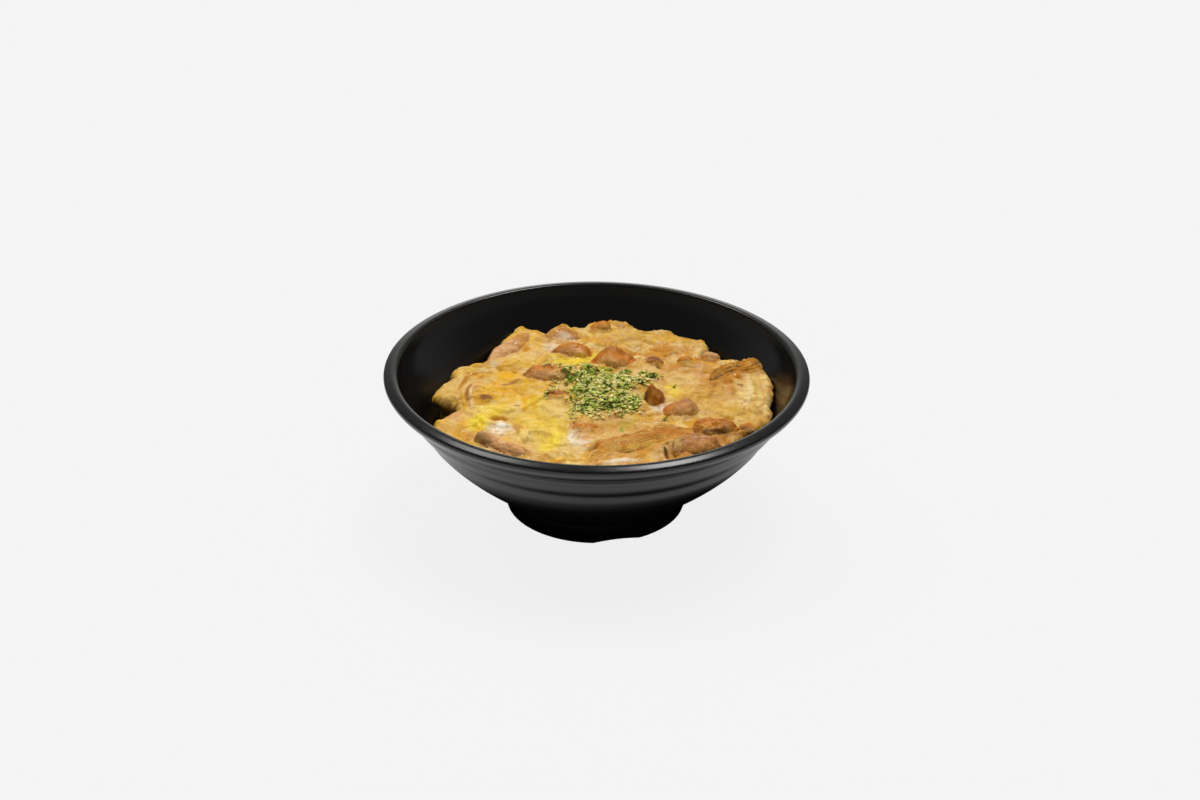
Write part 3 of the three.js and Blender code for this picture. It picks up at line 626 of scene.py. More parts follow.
chickenPatches = [
    ("amber", -40, 53, 4, 6, -10, 0.95), ("tan", -37, 59, 5, 4, 0, 0.8), ("tan", -24, 59, 4, 5, 0, 0.7),
    ("white", -15, 53, 6, 3, 0, 0.6), ("yolk", -36, 46, 2.5, 4, 0, 0.7), ("orange", -11, 42, 9, 5, 0, 0.5),
    ("pink", -13, 34, 7, 3, 0, 0.5), ("toast", 9, 34, 5, 8, 30, 0.7), ("pink", 3, 24, 7, 3, -5, 0.7),
    ("orange", 15, 28, 4, 5, 0, 0.7), ("rust", -34, 14, 2.5, 5, 20, 0.7), ("orange", -14, 16, 4, 4, 0, 0.7),
    ("pink", -28, 8, 7, 3, 0, 0.5), ("cream", -19, 9, 4, 2.5, 0, 0.5), ("sienna", 28, -5, 4, 4, 0, 0.6),
    ("brown", 26, -14, 2, 3, 0, 0.5), ("amber", 27, -17, 3, 4, 0, 0.5), ("orange", 36, -22, 5, 4, 20, 0.85),
    ("pink", 42, -27, 6, 2.5, 0, 0.6), ("mauve", 44, -14, 5, 5, 0, 0.6), ("pink", -52, -54, 5, 5, 0, 0.7),
    ("orange", -36, -61, 8, 3, -20, 0.5), ("pink", -44, -60, 6, 3, -20, 0.6),
    ("orange", 59, -36, 5, 4, 0, 0.5), ("rust", 62, -38, 3, 6, 0, 0.6), ("brown", 60, -45, 4, 2, 0, 0.7),
    ("brown", 72, -43, 5, 3, 0, 0.7), ("cream", 37, -57, 3, 6, -20, 0.5), ("tan", 44, -50, 7, 2, 20, 0.6),
    ("blush", 50, -58, 7, 4, 0, 0.5),
]
# Dark lines along the pieces' outlines and in the cracks beside them, painted shade with brown skin along
# some: tone, path, half width, strength
chickenSkinAndShadeLines = [
    ("rust", [(-22.5, 33), (-22, 40), (-18.4, 46.5)], 0.8, 0.75),
    ("rust", [(4, 40), (10, 37), (17, 31)], 0.7, 0.6),
    ("brown", [(-36, 11), (-34.5, 17), (-30, 20)], 0.8, 0.7),
    ("rust", [(-24, 19), (-20, 18.4), (-14, 19)], 0.7, 0.5),
    ("brown", [(23.8, -16), (24.6, -8), (27, -2)], 0.9, 0.7),
    ("rust", [(31, -16), (30, -8), (28, -4)], 1.2, 0.5), ("rust", [(46, -17), (48.5, -22)], 0.8, 0.6),
    ("brown", [(-57, -44.5), (-55.8, -49.5), (-55, -55)], 1.0, 0.85),
    ("rust", [(-33, -62.5), (-31, -67)], 1.0, 0.7),
    ("rust", [(35, -62), (36.5, -56), (41.5, -50.8)], 0.7, 0.5),
    ("brown", [(50, -46), (55, -45), (60, -46)], 0.8, 0.8),
]


# How far the outlines of patches and strokes wander across and up the picture, and how sharp they are
brush = {"wanderSize": 5, "patchWander": (1.8, 2.4), "patchEdge": 1.6, "strokeWander": (0.8, 1.1),
         "strokeEdge": 3, "endStrength": 0.4, "endShare": 0.2}


def paint(colours, x, y, patches, strokesAndShadeLines=()):
    b, flat = brush, flatPoints(x, y)
    worn = noiseAt(flat, b["wanderSize"], 3, 4.4), noiseAt(flat, b["wanderSize"], 3, 8.8)
    wanderX, wanderY = (far * values for far, values in zip(b["patchWander"], worn))
    for tone, atX, atY, wide, deep, turn, strength in patches:
        c, s = math.cos(math.radians(turn)), math.sin(math.radians(turn))
        offX, offY = x - atX + wanderX, y - atY + wanderY
        u, v = (c * offX + s * offY) / wide, (c * offY - s * offX) / deep
        toward(colours, tone, strength * np.exp(-(u * u + v * v) ** b["patchEdge"]))
    lineX, lineY = (at + far * values for at, far, values in zip((x, y), b["strokeWander"], worn))
    for tone, path, wide, strength in strokesAndShadeLines:
        away, share = awayFromPath(lineX, lineY, path, 3 * wide)
        ends = smoothStep(0, b["endShare"], share) * smoothStep(0, b["endShare"], 1 - share)
        faded = strength * (b["endStrength"] + (1 - b["endStrength"]) * ends)
        toward(colours, tone, faded * np.exp(-(away / wide) ** b["strokeEdge"]))


def mixTones(first, second, share):
    return np.outer(1 - share, toLinear(tones[first])) + np.outer(share, toLinear(tones[second]))


def toward(colours, tone, share):
    colours += (np.array(toLinear(tones[tone])) - colours) * share[:, None]
    return colours


# A tone that comes in as the values pass from low to high
def layer(colours, values, tone, strength, low, high, within=1):
    return toward(colours, tone, strength * smoothStep(low, high, values) * within)


# The egg's tones under its patches. A tone comes in where a field of noise passes from one level to another:
# tone, then the strength, field and levels of each of its parts
eggTones = [
    ("cream", [(0.8, "middle", 0.05, 0.28)]), ("amber", [(0.5, "middle", -0.14, -0.38)]),
    ("yolk", [(0.55, "yolky", 0.05, 0.3)]), ("white", [(0.3, "milky", 0.26, 0.44)]),
    # lumps and ripples follow the egg's relief: cream on the lump crests is painted highlight, amber in the
    # lump and ripple troughs painted shade
    ("cream", [(0.25, "lumps", 0.08, 0.45), (0.12, "small", 0.15, 0.45)]),
    ("amber", [(0.15, "lumps", -0.08, -0.45), (0.15, "small", -0.25, -0.5)]),
    ("amber", [(0.25, "ripples", -0.05, -0.4)]),
]
# Fields of noise as size, detail and shift. The first five are taken at warped points.
eggNoise = {"broad": (13, 2, 6.1), "middle": (5, 3, 4.6), "small": (2.2, 3, 2.6), "yolky": (7, 2, 15.2),
            "milky": (4.5, 3, 21.7), "veins": (5, 4, 1.9), "veiny": (12, 2, 3.8), "specks": (1.6, 1, 30.3)}
eggTinting = {"warp": 2.4, "warpSize": 8, "baseLevels": (-0.35, 0.4), "honeyAcross": 110, "yolkAcross": 350,
              "creaseStainAndShadeShare": 0.25, "veinLevels": (0.93, 1), "vein": ("rust", 0.35, -0.1, 0.3),
              "speck": ("umber", 0.5, 0.62, 0.74)}


def eggTint(x, y):
    s, flat = eggTinting, flatPoints(x, y)
    _, creaseStainAndShade, lumps = eggRelief(x, y)
    bent = warped(flat, s["warp"], s["warpSize"], 1.6)
    fields = {name: noiseAt(bent, *eggNoise[name]) for name in ("broad", "middle", "small", "yolky", "milky")}
    # the relief's lumps and ripples, for painted highlight and shade
    fields.update(lumps=lumps, ripples=ripples(x, y), yolky=fields["yolky"] - x / s["yolkAcross"])
    honey = smoothStep(*s["baseLevels"], fields["broad"] + x / s["honeyAcross"])
    colours = mixTones("straw", "honey", honey)
    for tone, parts in eggTones:
        toward(colours, tone, sum(strength * smoothStep(low, high, fields[field])
                                  for strength, field, low, high in parts))
    paint(colours, x, y, eggPatches, eggStrokesAndShadeLines)
    # painted shade, with broth stain: the egg goes toward toast in its creases, folds and along torn layer
    # edges
    toward(colours, "toast", s["creaseStainAndShadeShare"] * creaseStainAndShade)
    veins = smoothStep(*s["veinLevels"], 1 - np.abs(noiseAt(flat, *eggNoise["veins"])))
    layer(colours, noiseAt(flat, *eggNoise["veiny"]), *s["vein"], veins)
    return layer(colours, noiseAt(flat, *eggNoise["specks"]), *s["speck"])


# How far out towards a piece's outline (1 there), and how much that side faces the front
def placeOn(piece, x, y):
    turn = math.radians(piece["turn"])
    c, s = math.cos(turn), math.sin(turn)
    long, wide = piece["size"][0] / 2, piece["size"][1] / 2
    offX, offY = x - piece["at"][0], y - piece["at"][1]
    u, v = (c * offX + s * offY) / long, (c * offY - s * offX) / wide
    slopeX, slopeY = c * u / long - s * v / wide, s * u / long + c * v / wide
    return np.hypot(u, v), np.clip(-slopeY / np.maximum(np.hypot(slopeX, slopeY), 1e-9), 0, 1)


# Chicken is browner on top, darkest along the far edge, where brown skin meets painted shade along the
# outline, and paler down the front
chickenTint = {"patchy": 0.25, "patches": (4, 3, 17.3), "topLevels": (0.85, 0.35),
               "far": ("rust", 0.45, 0.6, 1), "paleness": (2.2, 3, 27.9), "pale": ("honey", 0.4, 0.1, 0.35),
               "shadedCreaseLevels": (0.2, 0.5), "highlitFoldLevels": (0.1, 0.0)}


def tintChicken(piece, x, y):
    s, flat = chickenTint, flatPoints(x, y)
    away, facing = placeOn(piece, x, y)
    patchy = s["patchy"] * noiseAt(flat, *s["patches"])
    colours = mixTones(*piece["tones"], smoothStep(*s["topLevels"], away * facing + patchy))
    # brown skin with painted shade: the far edge darkens toward rust
    layer(colours, away * (1 - facing) + patchy, *s["far"])
    paint(colours, x, y, chickenPatches, chickenSkinAndShadeLines)
    return layer(colours, noiseAt(flat, *s["paleness"]), *s["pale"], facing)


# Where the egg's tone gives way to a piece's: level at its back, and what the front, where egg covers it, and
# softness add. Bits under 16 mm fade into the egg all round.
pieceBlend = {"outer": (1.12, 0.13, 0.1), "inner": (1.06, -0.36, -0.4), "softSizes": (16, 8), "worn": 0.12,
              "softWorn": 0.25, "wear": (3, 2, 23.1)}


def shareOf(piece, x, y):  # 1 on a piece, and 0 away from it
    b = pieceBlend
    away, facing = placeOn(piece, x, y)
    soft = piece.get("soft", float(smoothStep(*b["softSizes"], piece["size"][0])))
    away = away + (b["worn"] + b["softWorn"] * soft) * noiseAt(flatPoints(x, y), *b["wear"])
    facing = facing * piece.get("fade", 1)
    low, high = (back + front * facing + faded * soft for back, front, faded in (b["outer"], b["inner"]))
    return smoothStep(low, high, away)


# How far out from a strip's middle line (1 at its edge), and 1 on the side that faces the front. Then the
# distance in millimetres, and the share of the strip's length
def sideOf(strip, x, y):
    away, share = awayFromPath(x, y, strip["path"], onionTint["reach"])
    line = smoothPath(strip["path"])
    level = np.interp(x, line[:, 0], line[:, 1])
    return away / (0.5 * strip["wide"]), smoothStep(1, -1, y - level), away, share


# Onion is stained along its veins and in blots, with another tone along its edges, and honey down the front
onionTint = {"veins": (1.4, 3, 5.7), "veinLong": 5, "veinLevels": (-0.35, 0.45), "blots": (5, 3, 9.1),
             "blot": ("amber", 0.7, 0.05, 0.4), "edge": (0.6, 0.7, 0.92), "front": ("honey", 0.8, 0.1, 0.7),
             "spots": (2.4, 3, 14.3), "spot": ("tan", 0.5, 0.1, 0.3),
             "outer": (1.2, 0.05), "inner": (1.05, -0.5), "worn": 0.2, "reach": 40}


def tintOnion(strip, x, y):
    s, flat = onionTint, flatPoints(x, y)
    out, facing, away, share = sideOf(strip, x, y)
    along = np.stack([away * np.sign(facing - 0.5), s["veinLong"] * share, np.zeros_like(x)], 1)
    colours = mixTones(*strip["tones"], smoothStep(*s["veinLevels"], noiseAt(along, *s["veins"])))
    layer(colours, noiseAt(flat, *s["blots"]), *s["blot"])
    layer(colours, out, strip["edge"], *s["edge"])
    layer(colours, out, *s["front"], smoothStep(0.5, 1, facing))
    return layer(colours, noiseAt(flat, *s["spots"]), *s["spot"], 1 - facing)


def addStrip(colours, strip, x, y):
    s = onionTint
    out, facing, _, _ = sideOf(strip, x, y)
    worn = out + s["worn"] * noiseAt(flatPoints(x, y), *pieceBlend["wear"])
    low, high = (back + front * facing for back, front in (s["outer"], s["inner"]))
    share = smoothStep(low, high, worn)
    near = share > 0.01  # further off the strip's tone isn't worked out
    colours[near] += (tintOnion(strip, x[near], y[near]) - colours[near]) * share[near, None]


def tintWith(pieces, x, y, strips=()):  # the egg's tone, and each piece's own where it lies
    colours = eggTint(x, y)
    for strip in strips:
        addStrip(colours, strip, x, y)
    for piece in pieces:
        near = np.hypot(x - piece["at"][0], y - piece["at"][1]) < 0.7 * piece["size"][0]
        share = shareOf(piece, x[near], y[near])
        colours[near] += (tintChicken(piece, x[near], y[near]) - colours[near]) * share[:, None]
    return colours


def setTint(mesh, colours):
    attribute = mesh.color_attributes.new("tint", "FLOAT_COLOR", "POINT")
    shades = np.concatenate([np.clip(colours, 0, 1), np.ones((len(colours), 1))], 1)
    attribute.data.foreach_set("color", shades.astype(np.float32).ravel())


# Food finishes share one build: a painted tint, mottled, with light let in under a wet skin
foodBuild = {"mottleDetail": 4, "mottleRoughness": 0.6, "mottleLevels": (0.3, 0.7),
             "puddleLevels": (0.5, 0.6), "grainDepth": 0.5, "filmRoughness": 0.1}


def foodMaterial(name, look):
    b = foodBuild
    material, tree = newMaterial(name)
    place = addNode(tree, "TexCoord").outputs["Object"]
    colour = addNode(tree, "Attribute", attribute_name="tint").outputs["Color"]
    for size, darkest, lightest in look["mottles"]:
        mottle = grainNode(tree, place, 1 / size, b["mottleDetail"], Roughness=b["mottleRoughness"])
        shade = rangeNode(tree, mottle, b["mottleLevels"], (darkest, lightest))
        colour = addNode(tree, "Mix", {0: 1.0}, {6: colour, 7: shade}, data_type="RGBA",
                         blend_type="MULTIPLY").outputs[2]
    pores = grainNode(tree, place, 1 / look["grainSize"])
    puddles = grainNode(tree, place, 1 / look["puddleSize"])
    wet = rangeNode(tree, puddles, b["puddleLevels"], (look["driest"], look["wettest"]))
    depth = look["grainSize"] * b["grainDepth"]
    bump = addNode(tree, "Bump", {"Strength": look["bump"], "Distance": depth}, {"Height": pores})
    shader = addNode(tree, "BsdfPrincipled",
                     {"IOR": look["ior"], "Subsurface Weight": look["glow"], "Subsurface Scale": 1,
                      "Subsurface Radius": look["glowReach"], "Coat Weight": look["film"],
                      "Coat Roughness": b["filmRoughness"]},
                     {"Base Color": colour, "Roughness": wet, "Normal": bump.outputs["Normal"]})
    return withSurface(material, shader.outputs["BSDF"])


# Egg just set in broth: soft and matt in the curds, wet where broth lies on it
eggLook = {"mottles": [(0.004, 0.95, 1.04), (0.0013, 0.94, 1.05)], "grainSize": 0.0011, "puddleSize": 0.003,
           "wettest": 0.07, "driest": 0.62, "bump": 0.2, "ior": 1.33, "glow": 0.16,
           "glowReach": (0.0018, 0.0011, 0.0003), "film": 0.05}
# Thigh simmered in soy broth: smooth brown skin side, glossy with broth
chickenFinish = {"mottles": [(0.005, 0.82, 1.12), (0.0014, 0.86, 1.1)], "grainSize": 0.0009,
                 "puddleSize": 0.004, "wettest": 0.08, "driest": 0.6, "bump": 0.3, "ior": 1.36, "glow": 0.1,
                 "glowReach": (0.002, 0.001, 0.0004), "film": 0.2}
# Onion stewed until it is clear and stained with broth
onionFinish = {"mottles": [(0.003, 0.75, 1.18), (0.001, 0.8, 1.15)], "grainSize": 0.0009, "puddleSize": 0.002,
               "wettest": 0.1, "driest": 0.6, "bump": 0.4, "ior": 1.36, "glow": 0.1,
               "glowReach": (0.002, 0.001, 0.0003), "film": 0.0}


def treeOf(meshes):  # one search tree over several shapes
    joined = bmesh.new()
    for bm in meshes:
        scratch = bpy.data.meshes.new("scratch")
        bm.to_mesh(scratch)
        joined.from_mesh(scratch)
        bpy.data.meshes.remove(scratch)
    tree = BVHTree.FromBMesh(joined)
    joined.free()
    return tree


pieceTree = treeOf([bm for _, bm in lumps + strips])


def frontness(x, y):  # 1 along the side of a piece that faces the front, 0 elsewhere
    s, front = eggShape, np.zeros_like(x)
    for piece in chicken:
        away, facing = placeOn(piece, x, y)
        covered = piece.get("film", 1) * min(1, piece["size"][1] / s["fullFilmFrom"])
        front = np.maximum(front, covered * facing * np.exp(-((away - s["filmAt"]) / s["filmWide"]) ** 2))
    for strip in onions:
        low = s["filmWide"] * strip["wide"]
        away, _ = awayFromPath(x, y + low, strip["path"], strip["wide"])
        front = np.maximum(front, strip["film"] * np.exp(-(away / low) ** 2))
    return front


def climb(x, y):  # how far up a piece the egg clings: further on the side that faces the front
    s = eggShape
    reach = s["filmClimb"] + s["filmWander"] * noiseAt(flatPoints(x, y), s["filmWanderSize"], 3, 12.5)
    return reach + s["frontFilm"] * frontness(x, y)


straightDown = Vector((0, 0, -1))
overhead = 100  # height that rays start from


# Egg's height where pieces stand in it: a collar round each, and a film over its lower slopes
def clingTo(x, y, dome, relief):
    s, reach, z = eggShape, climb(x, y), dome + relief
    collar = np.interp(frontness(x, y), (0, 1), s["collarReach"])
    for i in range(len(z)):
        start = Vector((x[i], y[i], dome[i] + s["searchLift"]))
        spot, _, _, away = pieceTree.find_nearest(start, s["searchReach"])
        if spot is None:
            continue
        calm = math.exp(-(away / s["calmReach"]) ** 2)
        z[i] = dome[i] + relief[i] * (1 - s["calm"] * calm)
        hit, _, _, _ = pieceTree.ray_cast(Vector((x[i], y[i], overhead)), straightDown)
        if hit is None or hit.z < z[i]:
            z[i] += s["collarHigh"] * max(reach[i], 0) * math.exp(-(away / collar[i]) ** 2)
            continue
        film = s["filmThick"] - s["filmFall"] * max(hit.z - z[i] - reach[i], 0)
        z[i] = max(hit.z + film, z[i] - s["dip"])
    return z


def ringPoints(angles, radius, level):
    return np.stack([radius * np.cos(angles), radius * np.sin(angles), np.full_like(angles, level)], 1)


def makeEgg(s):
    bm = bmesh.new()
    bmesh.ops.create_grid(bm, x_segments=s["cells"], y_segments=s["cells"], size=1)
    square = pointsOf(bm)
    u = square[:, 0] * np.sqrt(1 - square[:, 1] ** 2 / 2)
    v = square[:, 1] * np.sqrt(1 - square[:, 0] ** 2 / 2)
    angles = np.arctan2(v, u)
    share = np.minimum(np.hypot(u, v), 1)
    around = ringPoints(angles, s["frillRadius"], 0)
    frill = sum(out * noiseAt(around, size, 3, shift) for out, size, shift in s["frills"])
    edge = eggEdge(angles) + frill * smoothStep(s["frillFrom"], 1, share)
    crown = edge - s["edgeReach"]
    bendLength = math.pi / 2 * (s["edgeReach"] + s["edgeDrop"]) / 2
    turnAt = crown / (crown + bendLength)
    bend = np.clip((share - turnAt) / (1 - turnAt), 0, 1) * math.pi / 2
    radius = np.where(share < turnAt, share / turnAt * crown, crown + s["edgeReach"] * np.sin(bend))
    x, y = radius * np.cos(angles), radius * np.sin(angles)
    dome = eggDome(x, y)
    for strip in onions:  # the egg lies lower along the onion strips
        away, _ = awayFromPath(x, y, strip["path"], 2 * strip["wide"])
        dome = dome - s["onionTrough"] * np.exp(-(away / (s["troughWide"] * strip["wide"])) ** 2)
    relief, _, _ = eggRelief(x, y)
    z = clingTo(x, y, dome, relief * (s["edgeRelief"] + (1 - s["edgeRelief"]) * np.cos(bend)))
    z -= s["edgeDrop"] * (1 - np.cos(bend))
    inside = bowlInside(z - s["bedGap"])
    squeeze = np.minimum(1, (inside - s["wallGap"]) / np.maximum(radius, 1e-6))
    movePoints(bm, np.stack([x * squeeze, y * squeeze, z], 1))
    hangSkirt(bm, s)
    bmesh.ops.recalc_face_normals(bm, faces=bm.faces)
    return bm


def hangSkirt(bm, s):  # the side under the edge, then the bed down to the bottom of the bowl
    rim = [e for e in bm.edges if e.is_boundary]
    for level, inset in [*s["sideLevels"], *((z, None) for z in s["bedLevels"])]:
        grown = bmesh.ops.extrude_edge_only(bm, edges=rim)["geom"]
        rim = [e for e in grown if isinstance(e, bmesh.types.BMEdge) and e.is_boundary]
        ring = [v for v in grown if isinstance(v, bmesh.types.BMVert)]
        angles = np.array([math.atan2(v.co.y, v.co.x) for v in ring])
        wall = bowlInside(level - s["bedGap"])
        spots = ringPoints(angles, s["sideNoiseRadius"], level)
        radii, heights = np.full_like(angles, wall), np.full_like(angles, level)
        if inset is not None:
            bulge = s["sideBulge"] * noiseAt(spots, s["sideBulgeSize"], 3)
            radii = np.minimum(eggEdge(angles) - inset + bulge, wall)
            heights += s["sideWander"] * noiseAt(spots, s["sideWanderSize"], 2, 5)
        for v, angle, radius, height in zip(ring, angles, radii, heights):
            v.co = (radius * math.cos(angle), radius * math.sin(angle), min(height, v.co.z - s["leastStep"]))
    last = bmesh.ops.extrude_edge_only(bm, edges=rim)["geom"]
    bottom = [v for v in last if isinstance(v, bmesh.types.BMVert)]
    bmesh.ops.pointmerge(bm, verts=bottom, merge_co=(0, 0, bowlShape["floorLevel"] + s["bedGap"]))


eggBody = makeEgg(eggShape)
eggPoints = pointsOf(eggBody)
bmesh.ops.scale(eggBody, verts=eggBody.verts, vec=(mm, mm, mm))
egg = finishPiece("softEgg", eggBody, foodMaterial("softSetEgg", eggLook), ["egg"])
eggColours = tintWith(chicken, *eggPoints[:, :2].T, onions)
paintedShadeUnderEdge = np.interp(eggPoints[:, 2], eggShape["paintedShadeUnderEdgeAt"], (eggShape["paintedShadeUnderEdge"], 1))
eggColours *= paintedShadeUnderEdge[:, None]  # painted shade: the side under the edge is darkened
setTint(egg.data, eggColours)
print("egg made")


def dressPiece(node, name, bm, material, colours):
    bmesh.ops.scale(bm, verts=bm.verts, vec=(mm, mm, mm))
    piece = finishPiece(name, bm, material, [node])
    setTint(piece.data, colours)


simmeredChicken = foodMaterial("simmeredChicken", chickenFinish)
for piece, bm in lumps:
    colours = tintWith([piece], *pointsOf(bm)[:, :2].T)
    share = piece.get("brothAndShadeInCreases", 0)  # broth stain and painted shade darken the creases, and painted highlight pales the folds between them
    layer(colours, piece["creases"], "umber", share, *chickenTint["shadedCreaseLevels"])
    layer(colours, piece["creases"], "tan", share, *chickenTint["highlitFoldLevels"])
    name = piece["node"].replace("chicken", "thigh")
    dressPiece(piece["node"], name, bm, simmeredChicken, colours)
stewedOnion = foodMaterial("stewedOnion", onionFinish)
for strip, bm in strips:
    colours = tintWith([], *pointsOf(bm)[:, :2].T, [strip])
    name = strip["node"].replace("onion", "onionStrip")
    dressPiece(strip["node"], name, bm, stewedOnion, colours)
print("chicken and onion dressed")

# Dried green flakes in a loose heap, with pale crumbs of egg between them: middle, half widths and share of
# each clump
clumps = [
    (-7, 15, 6, 6, 0.7), (-4, 5, 7, 7, 1.3), (-3, -9, 6, 7, 1.3), (-5, -21, 6, 6, 1), (8, 9, 7, 5, 0.9),
    (16, 7, 7, 5, 0.7), (11, -13, 8, 6, 1.2), (5, -4, 9, 9, 0.9), (10, -23, 6, 4, 0.25), (22, 11, 6, 3, 0.15),
]
flakeKinds = [
    {"name": "greenFlakes", "count": 1400, "length": (1.0, 2.8), "thick": 0.35, "slot": "green_flakes",
     "seed": 11, "spread": 0.68, "lift": (0.1, 1.4), "bunches": 90, "bunchSize": 1.4,
     "shades": ["#546A18", "#6E8622", "#8AA02E", "#A5B842", "#BCC656", "#36470E", "#CDCD6A", "#8FA432"]},
    {"name": "paleCrumbs", "count": 2000, "length": (0.8, 2.2), "thick": 0.6, "slot": "egg", "seed": 23,
     "spread": 0.82, "lift": (0.0, 1.2), "bunches": 260, "bunchSize": 1.6,
     "shades": ["#EADF90", "#E2D67C", "#F0E7AA", "#DACE68", "#E6DA84"]},
]
strayFlakes = [(-24, -12), (-13, -32), (-7, 24), (38, -1), (33, -32), (13, -41), (12, -30), (30, 13),
               (-23, -9)]
chipShape = {"width": (0.25, 0.45), "tilt": 0.5, "ragged": 0.08, "raggedUp": 0.04, "shade": (0.8, 1.2),
             "strayEach": 3, "strayReach": 1.0}


leafLook = {"Roughness": 0.6, "IOR": 1.4}  # dried seaweed: thin dull chips


def driedLeaf():
    material, tree = newMaterial("driedSeaweed")
    tint = addNode(tree, "Attribute", attribute_name="tint").outputs["Color"]
    shader = addNode(tree, "BsdfPrincipled", leafLook, {"Base Color": tint})
    return withSurface(material, shader.outputs["BSDF"])


eggTree = BVHTree.FromPolygons([Vector(p) for p in eggPoints], [tuple(f.vertices) for f in egg.data.polygons])


def surfaceUnder(x, y):
    hits = [tree.ray_cast(Vector((x, y, overhead)), straightDown)[0] for tree in (eggTree, pieceTree)]
    return max(hit.z for hit in hits if hit is not None)


def scatter(kind, rng):
    s, bm = chipShape, bmesh.new()
    colours, bunches = [], []
    for atX, atY, wide, deep, _ in rng.choices(clumps, [clump[-1] for clump in clumps], k=kind["bunches"]):
        bunches.append((rng.gauss(atX, kind["spread"] * wide), rng.gauss(atY, kind["spread"] * deep)))
    for i in range(kind["count"]):
        x, y = (v + rng.gauss(0, kind["bunchSize"]) for v in rng.choice(bunches))
        if kind["name"] == "greenFlakes" and i < s["strayEach"] * len(strayFlakes):
            x, y = (v + rng.gauss(0, s["strayReach"]) for v in strayFlakes[i % len(strayFlakes)])
        size = rng.uniform(*kind["length"])
        turned = Matrix.Rotation(rng.uniform(0, math.pi), 4, "Z")
        turned = turned @ Matrix.Rotation(rng.gauss(0, s["tilt"]), 4, "X")
        flat = Matrix.Diagonal((size / 2, size * rng.uniform(*s["width"]), kind["thick"] / 2, 1))
        height = surfaceUnder(x, y) + rng.uniform(*kind["lift"])
        place = Matrix.Translation((x, y, height)) @ turned @ flat
        chip = bmesh.ops.create_icosphere(bm, subdivisions=1, radius=1, matrix=place)["verts"]
        for v in chip:
            v.co += Vector([rng.gauss(0, far) for far in (s["ragged"], s["ragged"], s["raggedUp"])])
        shade = np.array(toLinear(rng.choice(kind["shades"]))) * rng.uniform(*s["shade"])
        colours += [shade] * len(chip)
    bmesh.ops.scale(bm, verts=bm.verts, vec=(mm, mm, mm))
    return bm, np.array(colours)


seaweed = driedLeaf()
for kind in flakeKinds:
    chips, shades = scatter(kind, random.Random(kind["seed"]))
    setTint(finishPiece(kind["name"], chips, seaweed, smooth=False).data, shades)
print("flakes scattered")

# Stage: a plain pale floor and soft studio light. To all rays but the camera's the floor is a painted glow,
# with a painted shadow round the bowl's foot: the glow that it sends back grows from the foot to beyond the
# rim.
stage = {
    "floor": "#F4F4F4", "floorSize": 60, "shadowShare": 0.06, "shadowShift": 0.005, "darkTo": 0.06,
    "brightFrom": 0.115, "glow": 1.0, "lampColour": (1.0, 0.99, 0.97), "room": (1.0, 0.98, 0.95),
    "roomAbove": (0.11, 0.3), "backFrom": (0.3, 0.95), "frontTo": 0.3, "roomLow": (1.1, 0.22),
    "behind": (0.08, 0.35), "lowUpTo": (0.3, 0.56),
}
lamps = [  # direction that the light comes from, strength, angle across, and whether it shows as a glint
    {"name": "overhead", "from": (0.15, 0.2, 0.94), "strength": 1.8, "angle": 30, "glints": False},
    {"name": "leftBack", "from": (-0.5, 0.35, 0.79), "strength": 0.8, "angle": 24, "glints": False},
    {"name": "rightGlint", "from": (0.171, 0.498, 0.85), "strength": 0.4, "angle": 11, "glints": True},
    {"name": "leftGlint", "from": (-0.244, 0.544, 0.802), "strength": 0.22, "angle": 12, "glints": True},
]


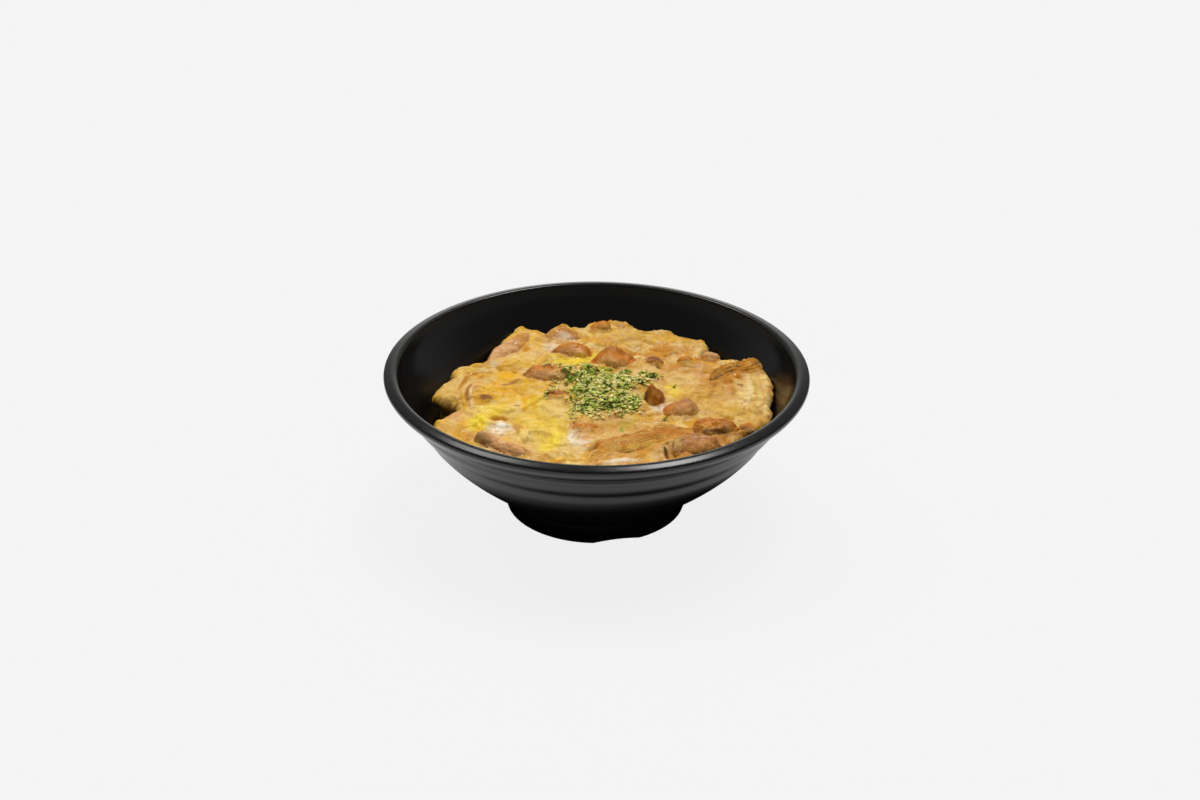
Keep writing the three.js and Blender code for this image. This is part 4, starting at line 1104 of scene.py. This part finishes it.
def floorMaterial():
    material, tree = newMaterial("paperFloor")
    colour = (*toLinear(stage["floor"]), 1)
    white = addNode(tree, "Emission", {"Color": colour}).outputs["Emission"]
    paper = addNode(tree, "BsdfDiffuse", {"Color": colour}).outputs["BSDF"]
    place = addNode(tree, "TexCoord").outputs["Object"]
    shifted = addNode(tree, "Mapping", {"Location": (-stage["shadowShift"], 0, 0)}, {"Vector": place})
    away = addNode(tree, "VectorMath", links={0: shifted.outputs["Vector"]}, operation="LENGTH")
    # painted shadow in the glow: dark round the bowl's foot, growing to full beyond the rim
    glowPastPaintedShadow = rangeNode(tree, away.outputs["Value"], (stage["darkTo"], stage["brightFrom"]), (0, stage["glow"]),
                    interpolation_type="SMOOTHSTEP")
    glow = addNode(tree, "Emission", {"Color": colour}, {"Strength": glowPastPaintedShadow}).outputs["Emission"]
    shaded = addNode(tree, "MixShader", {0: stage["shadowShare"]}, {1: white, 2: paper}).outputs["Shader"]
    seen = addNode(tree, "LightPath").outputs["Is Camera Ray"]
    blend = addNode(tree, "MixShader", links={0: seen, 1: glow, 2: shaded})
    return withSurface(material, blend.outputs["Shader"])


def makeRoom():  # pale low down behind the bowl; above that dim in front and a little brighter at the back
    world = bpy.data.worlds.new("room")
    world.use_nodes = True
    tree = world.node_tree
    tree.nodes.clear()
    toSky = addNode(tree, "TexCoord").outputs["Generated"]
    sides = addNode(tree, "SeparateXYZ", links={"Vector": toSky}).outputs
    above = rangeNode(tree, sides["Y"], stage["backFrom"], stage["roomAbove"])
    offLine = addNode(tree, "Math", links={0: sides["X"]}, operation="ABSOLUTE").outputs["Value"]
    inFront = rangeNode(tree, sides["Y"], (0, stage["frontTo"]), (1, 0))
    aside = addNode(tree, "Math", links={0: offLine, 1: inFront}, operation="ADD").outputs["Value"]
    low = rangeNode(tree, aside, stage["behind"], stage["roomLow"])
    start, end = stage["lowUpTo"]
    strength = addNode(tree, "MapRange", {"From Min": start, "From Max": end},
                       {"Value": sides["Z"], "To Min": low, "To Max": above},
                       interpolation_type="SMOOTHSTEP").outputs["Result"]
    sky = addNode(tree, "Background", {"Color": (*stage["room"], 1)}, {"Strength": strength})
    addNode(tree, "OutputWorld", links={"Surface": sky.outputs["Background"]})
    return world


def makeStage():
    bm = bmesh.new()
    bmesh.ops.create_grid(bm, x_segments=1, y_segments=1, size=stage["floorSize"] / 2)
    mesh = bpy.data.meshes.new("floor")
    bm.to_mesh(mesh)
    bm.free()
    mesh.materials.append(floorMaterial())
    floor = bpy.data.objects.new("floor", mesh)
    scene.collection.objects.link(floor)
    for lamp in lamps:
        data = bpy.data.lights.new(lamp["name"], "SUN")
        data.energy, data.color = lamp["strength"], stage["lampColour"]
        data.angle = math.radians(lamp["angle"])
        light = bpy.data.objects.new(lamp["name"], data)
        light.visible_glossy = lamp["glints"]
        light.rotation_mode = "QUATERNION"
        light.rotation_quaternion = Vector(lamp["from"]).to_track_quat("Z", "Y")
        scene.collection.objects.link(light)
    scene.world = makeRoom()


makeStage()
print("stage made")
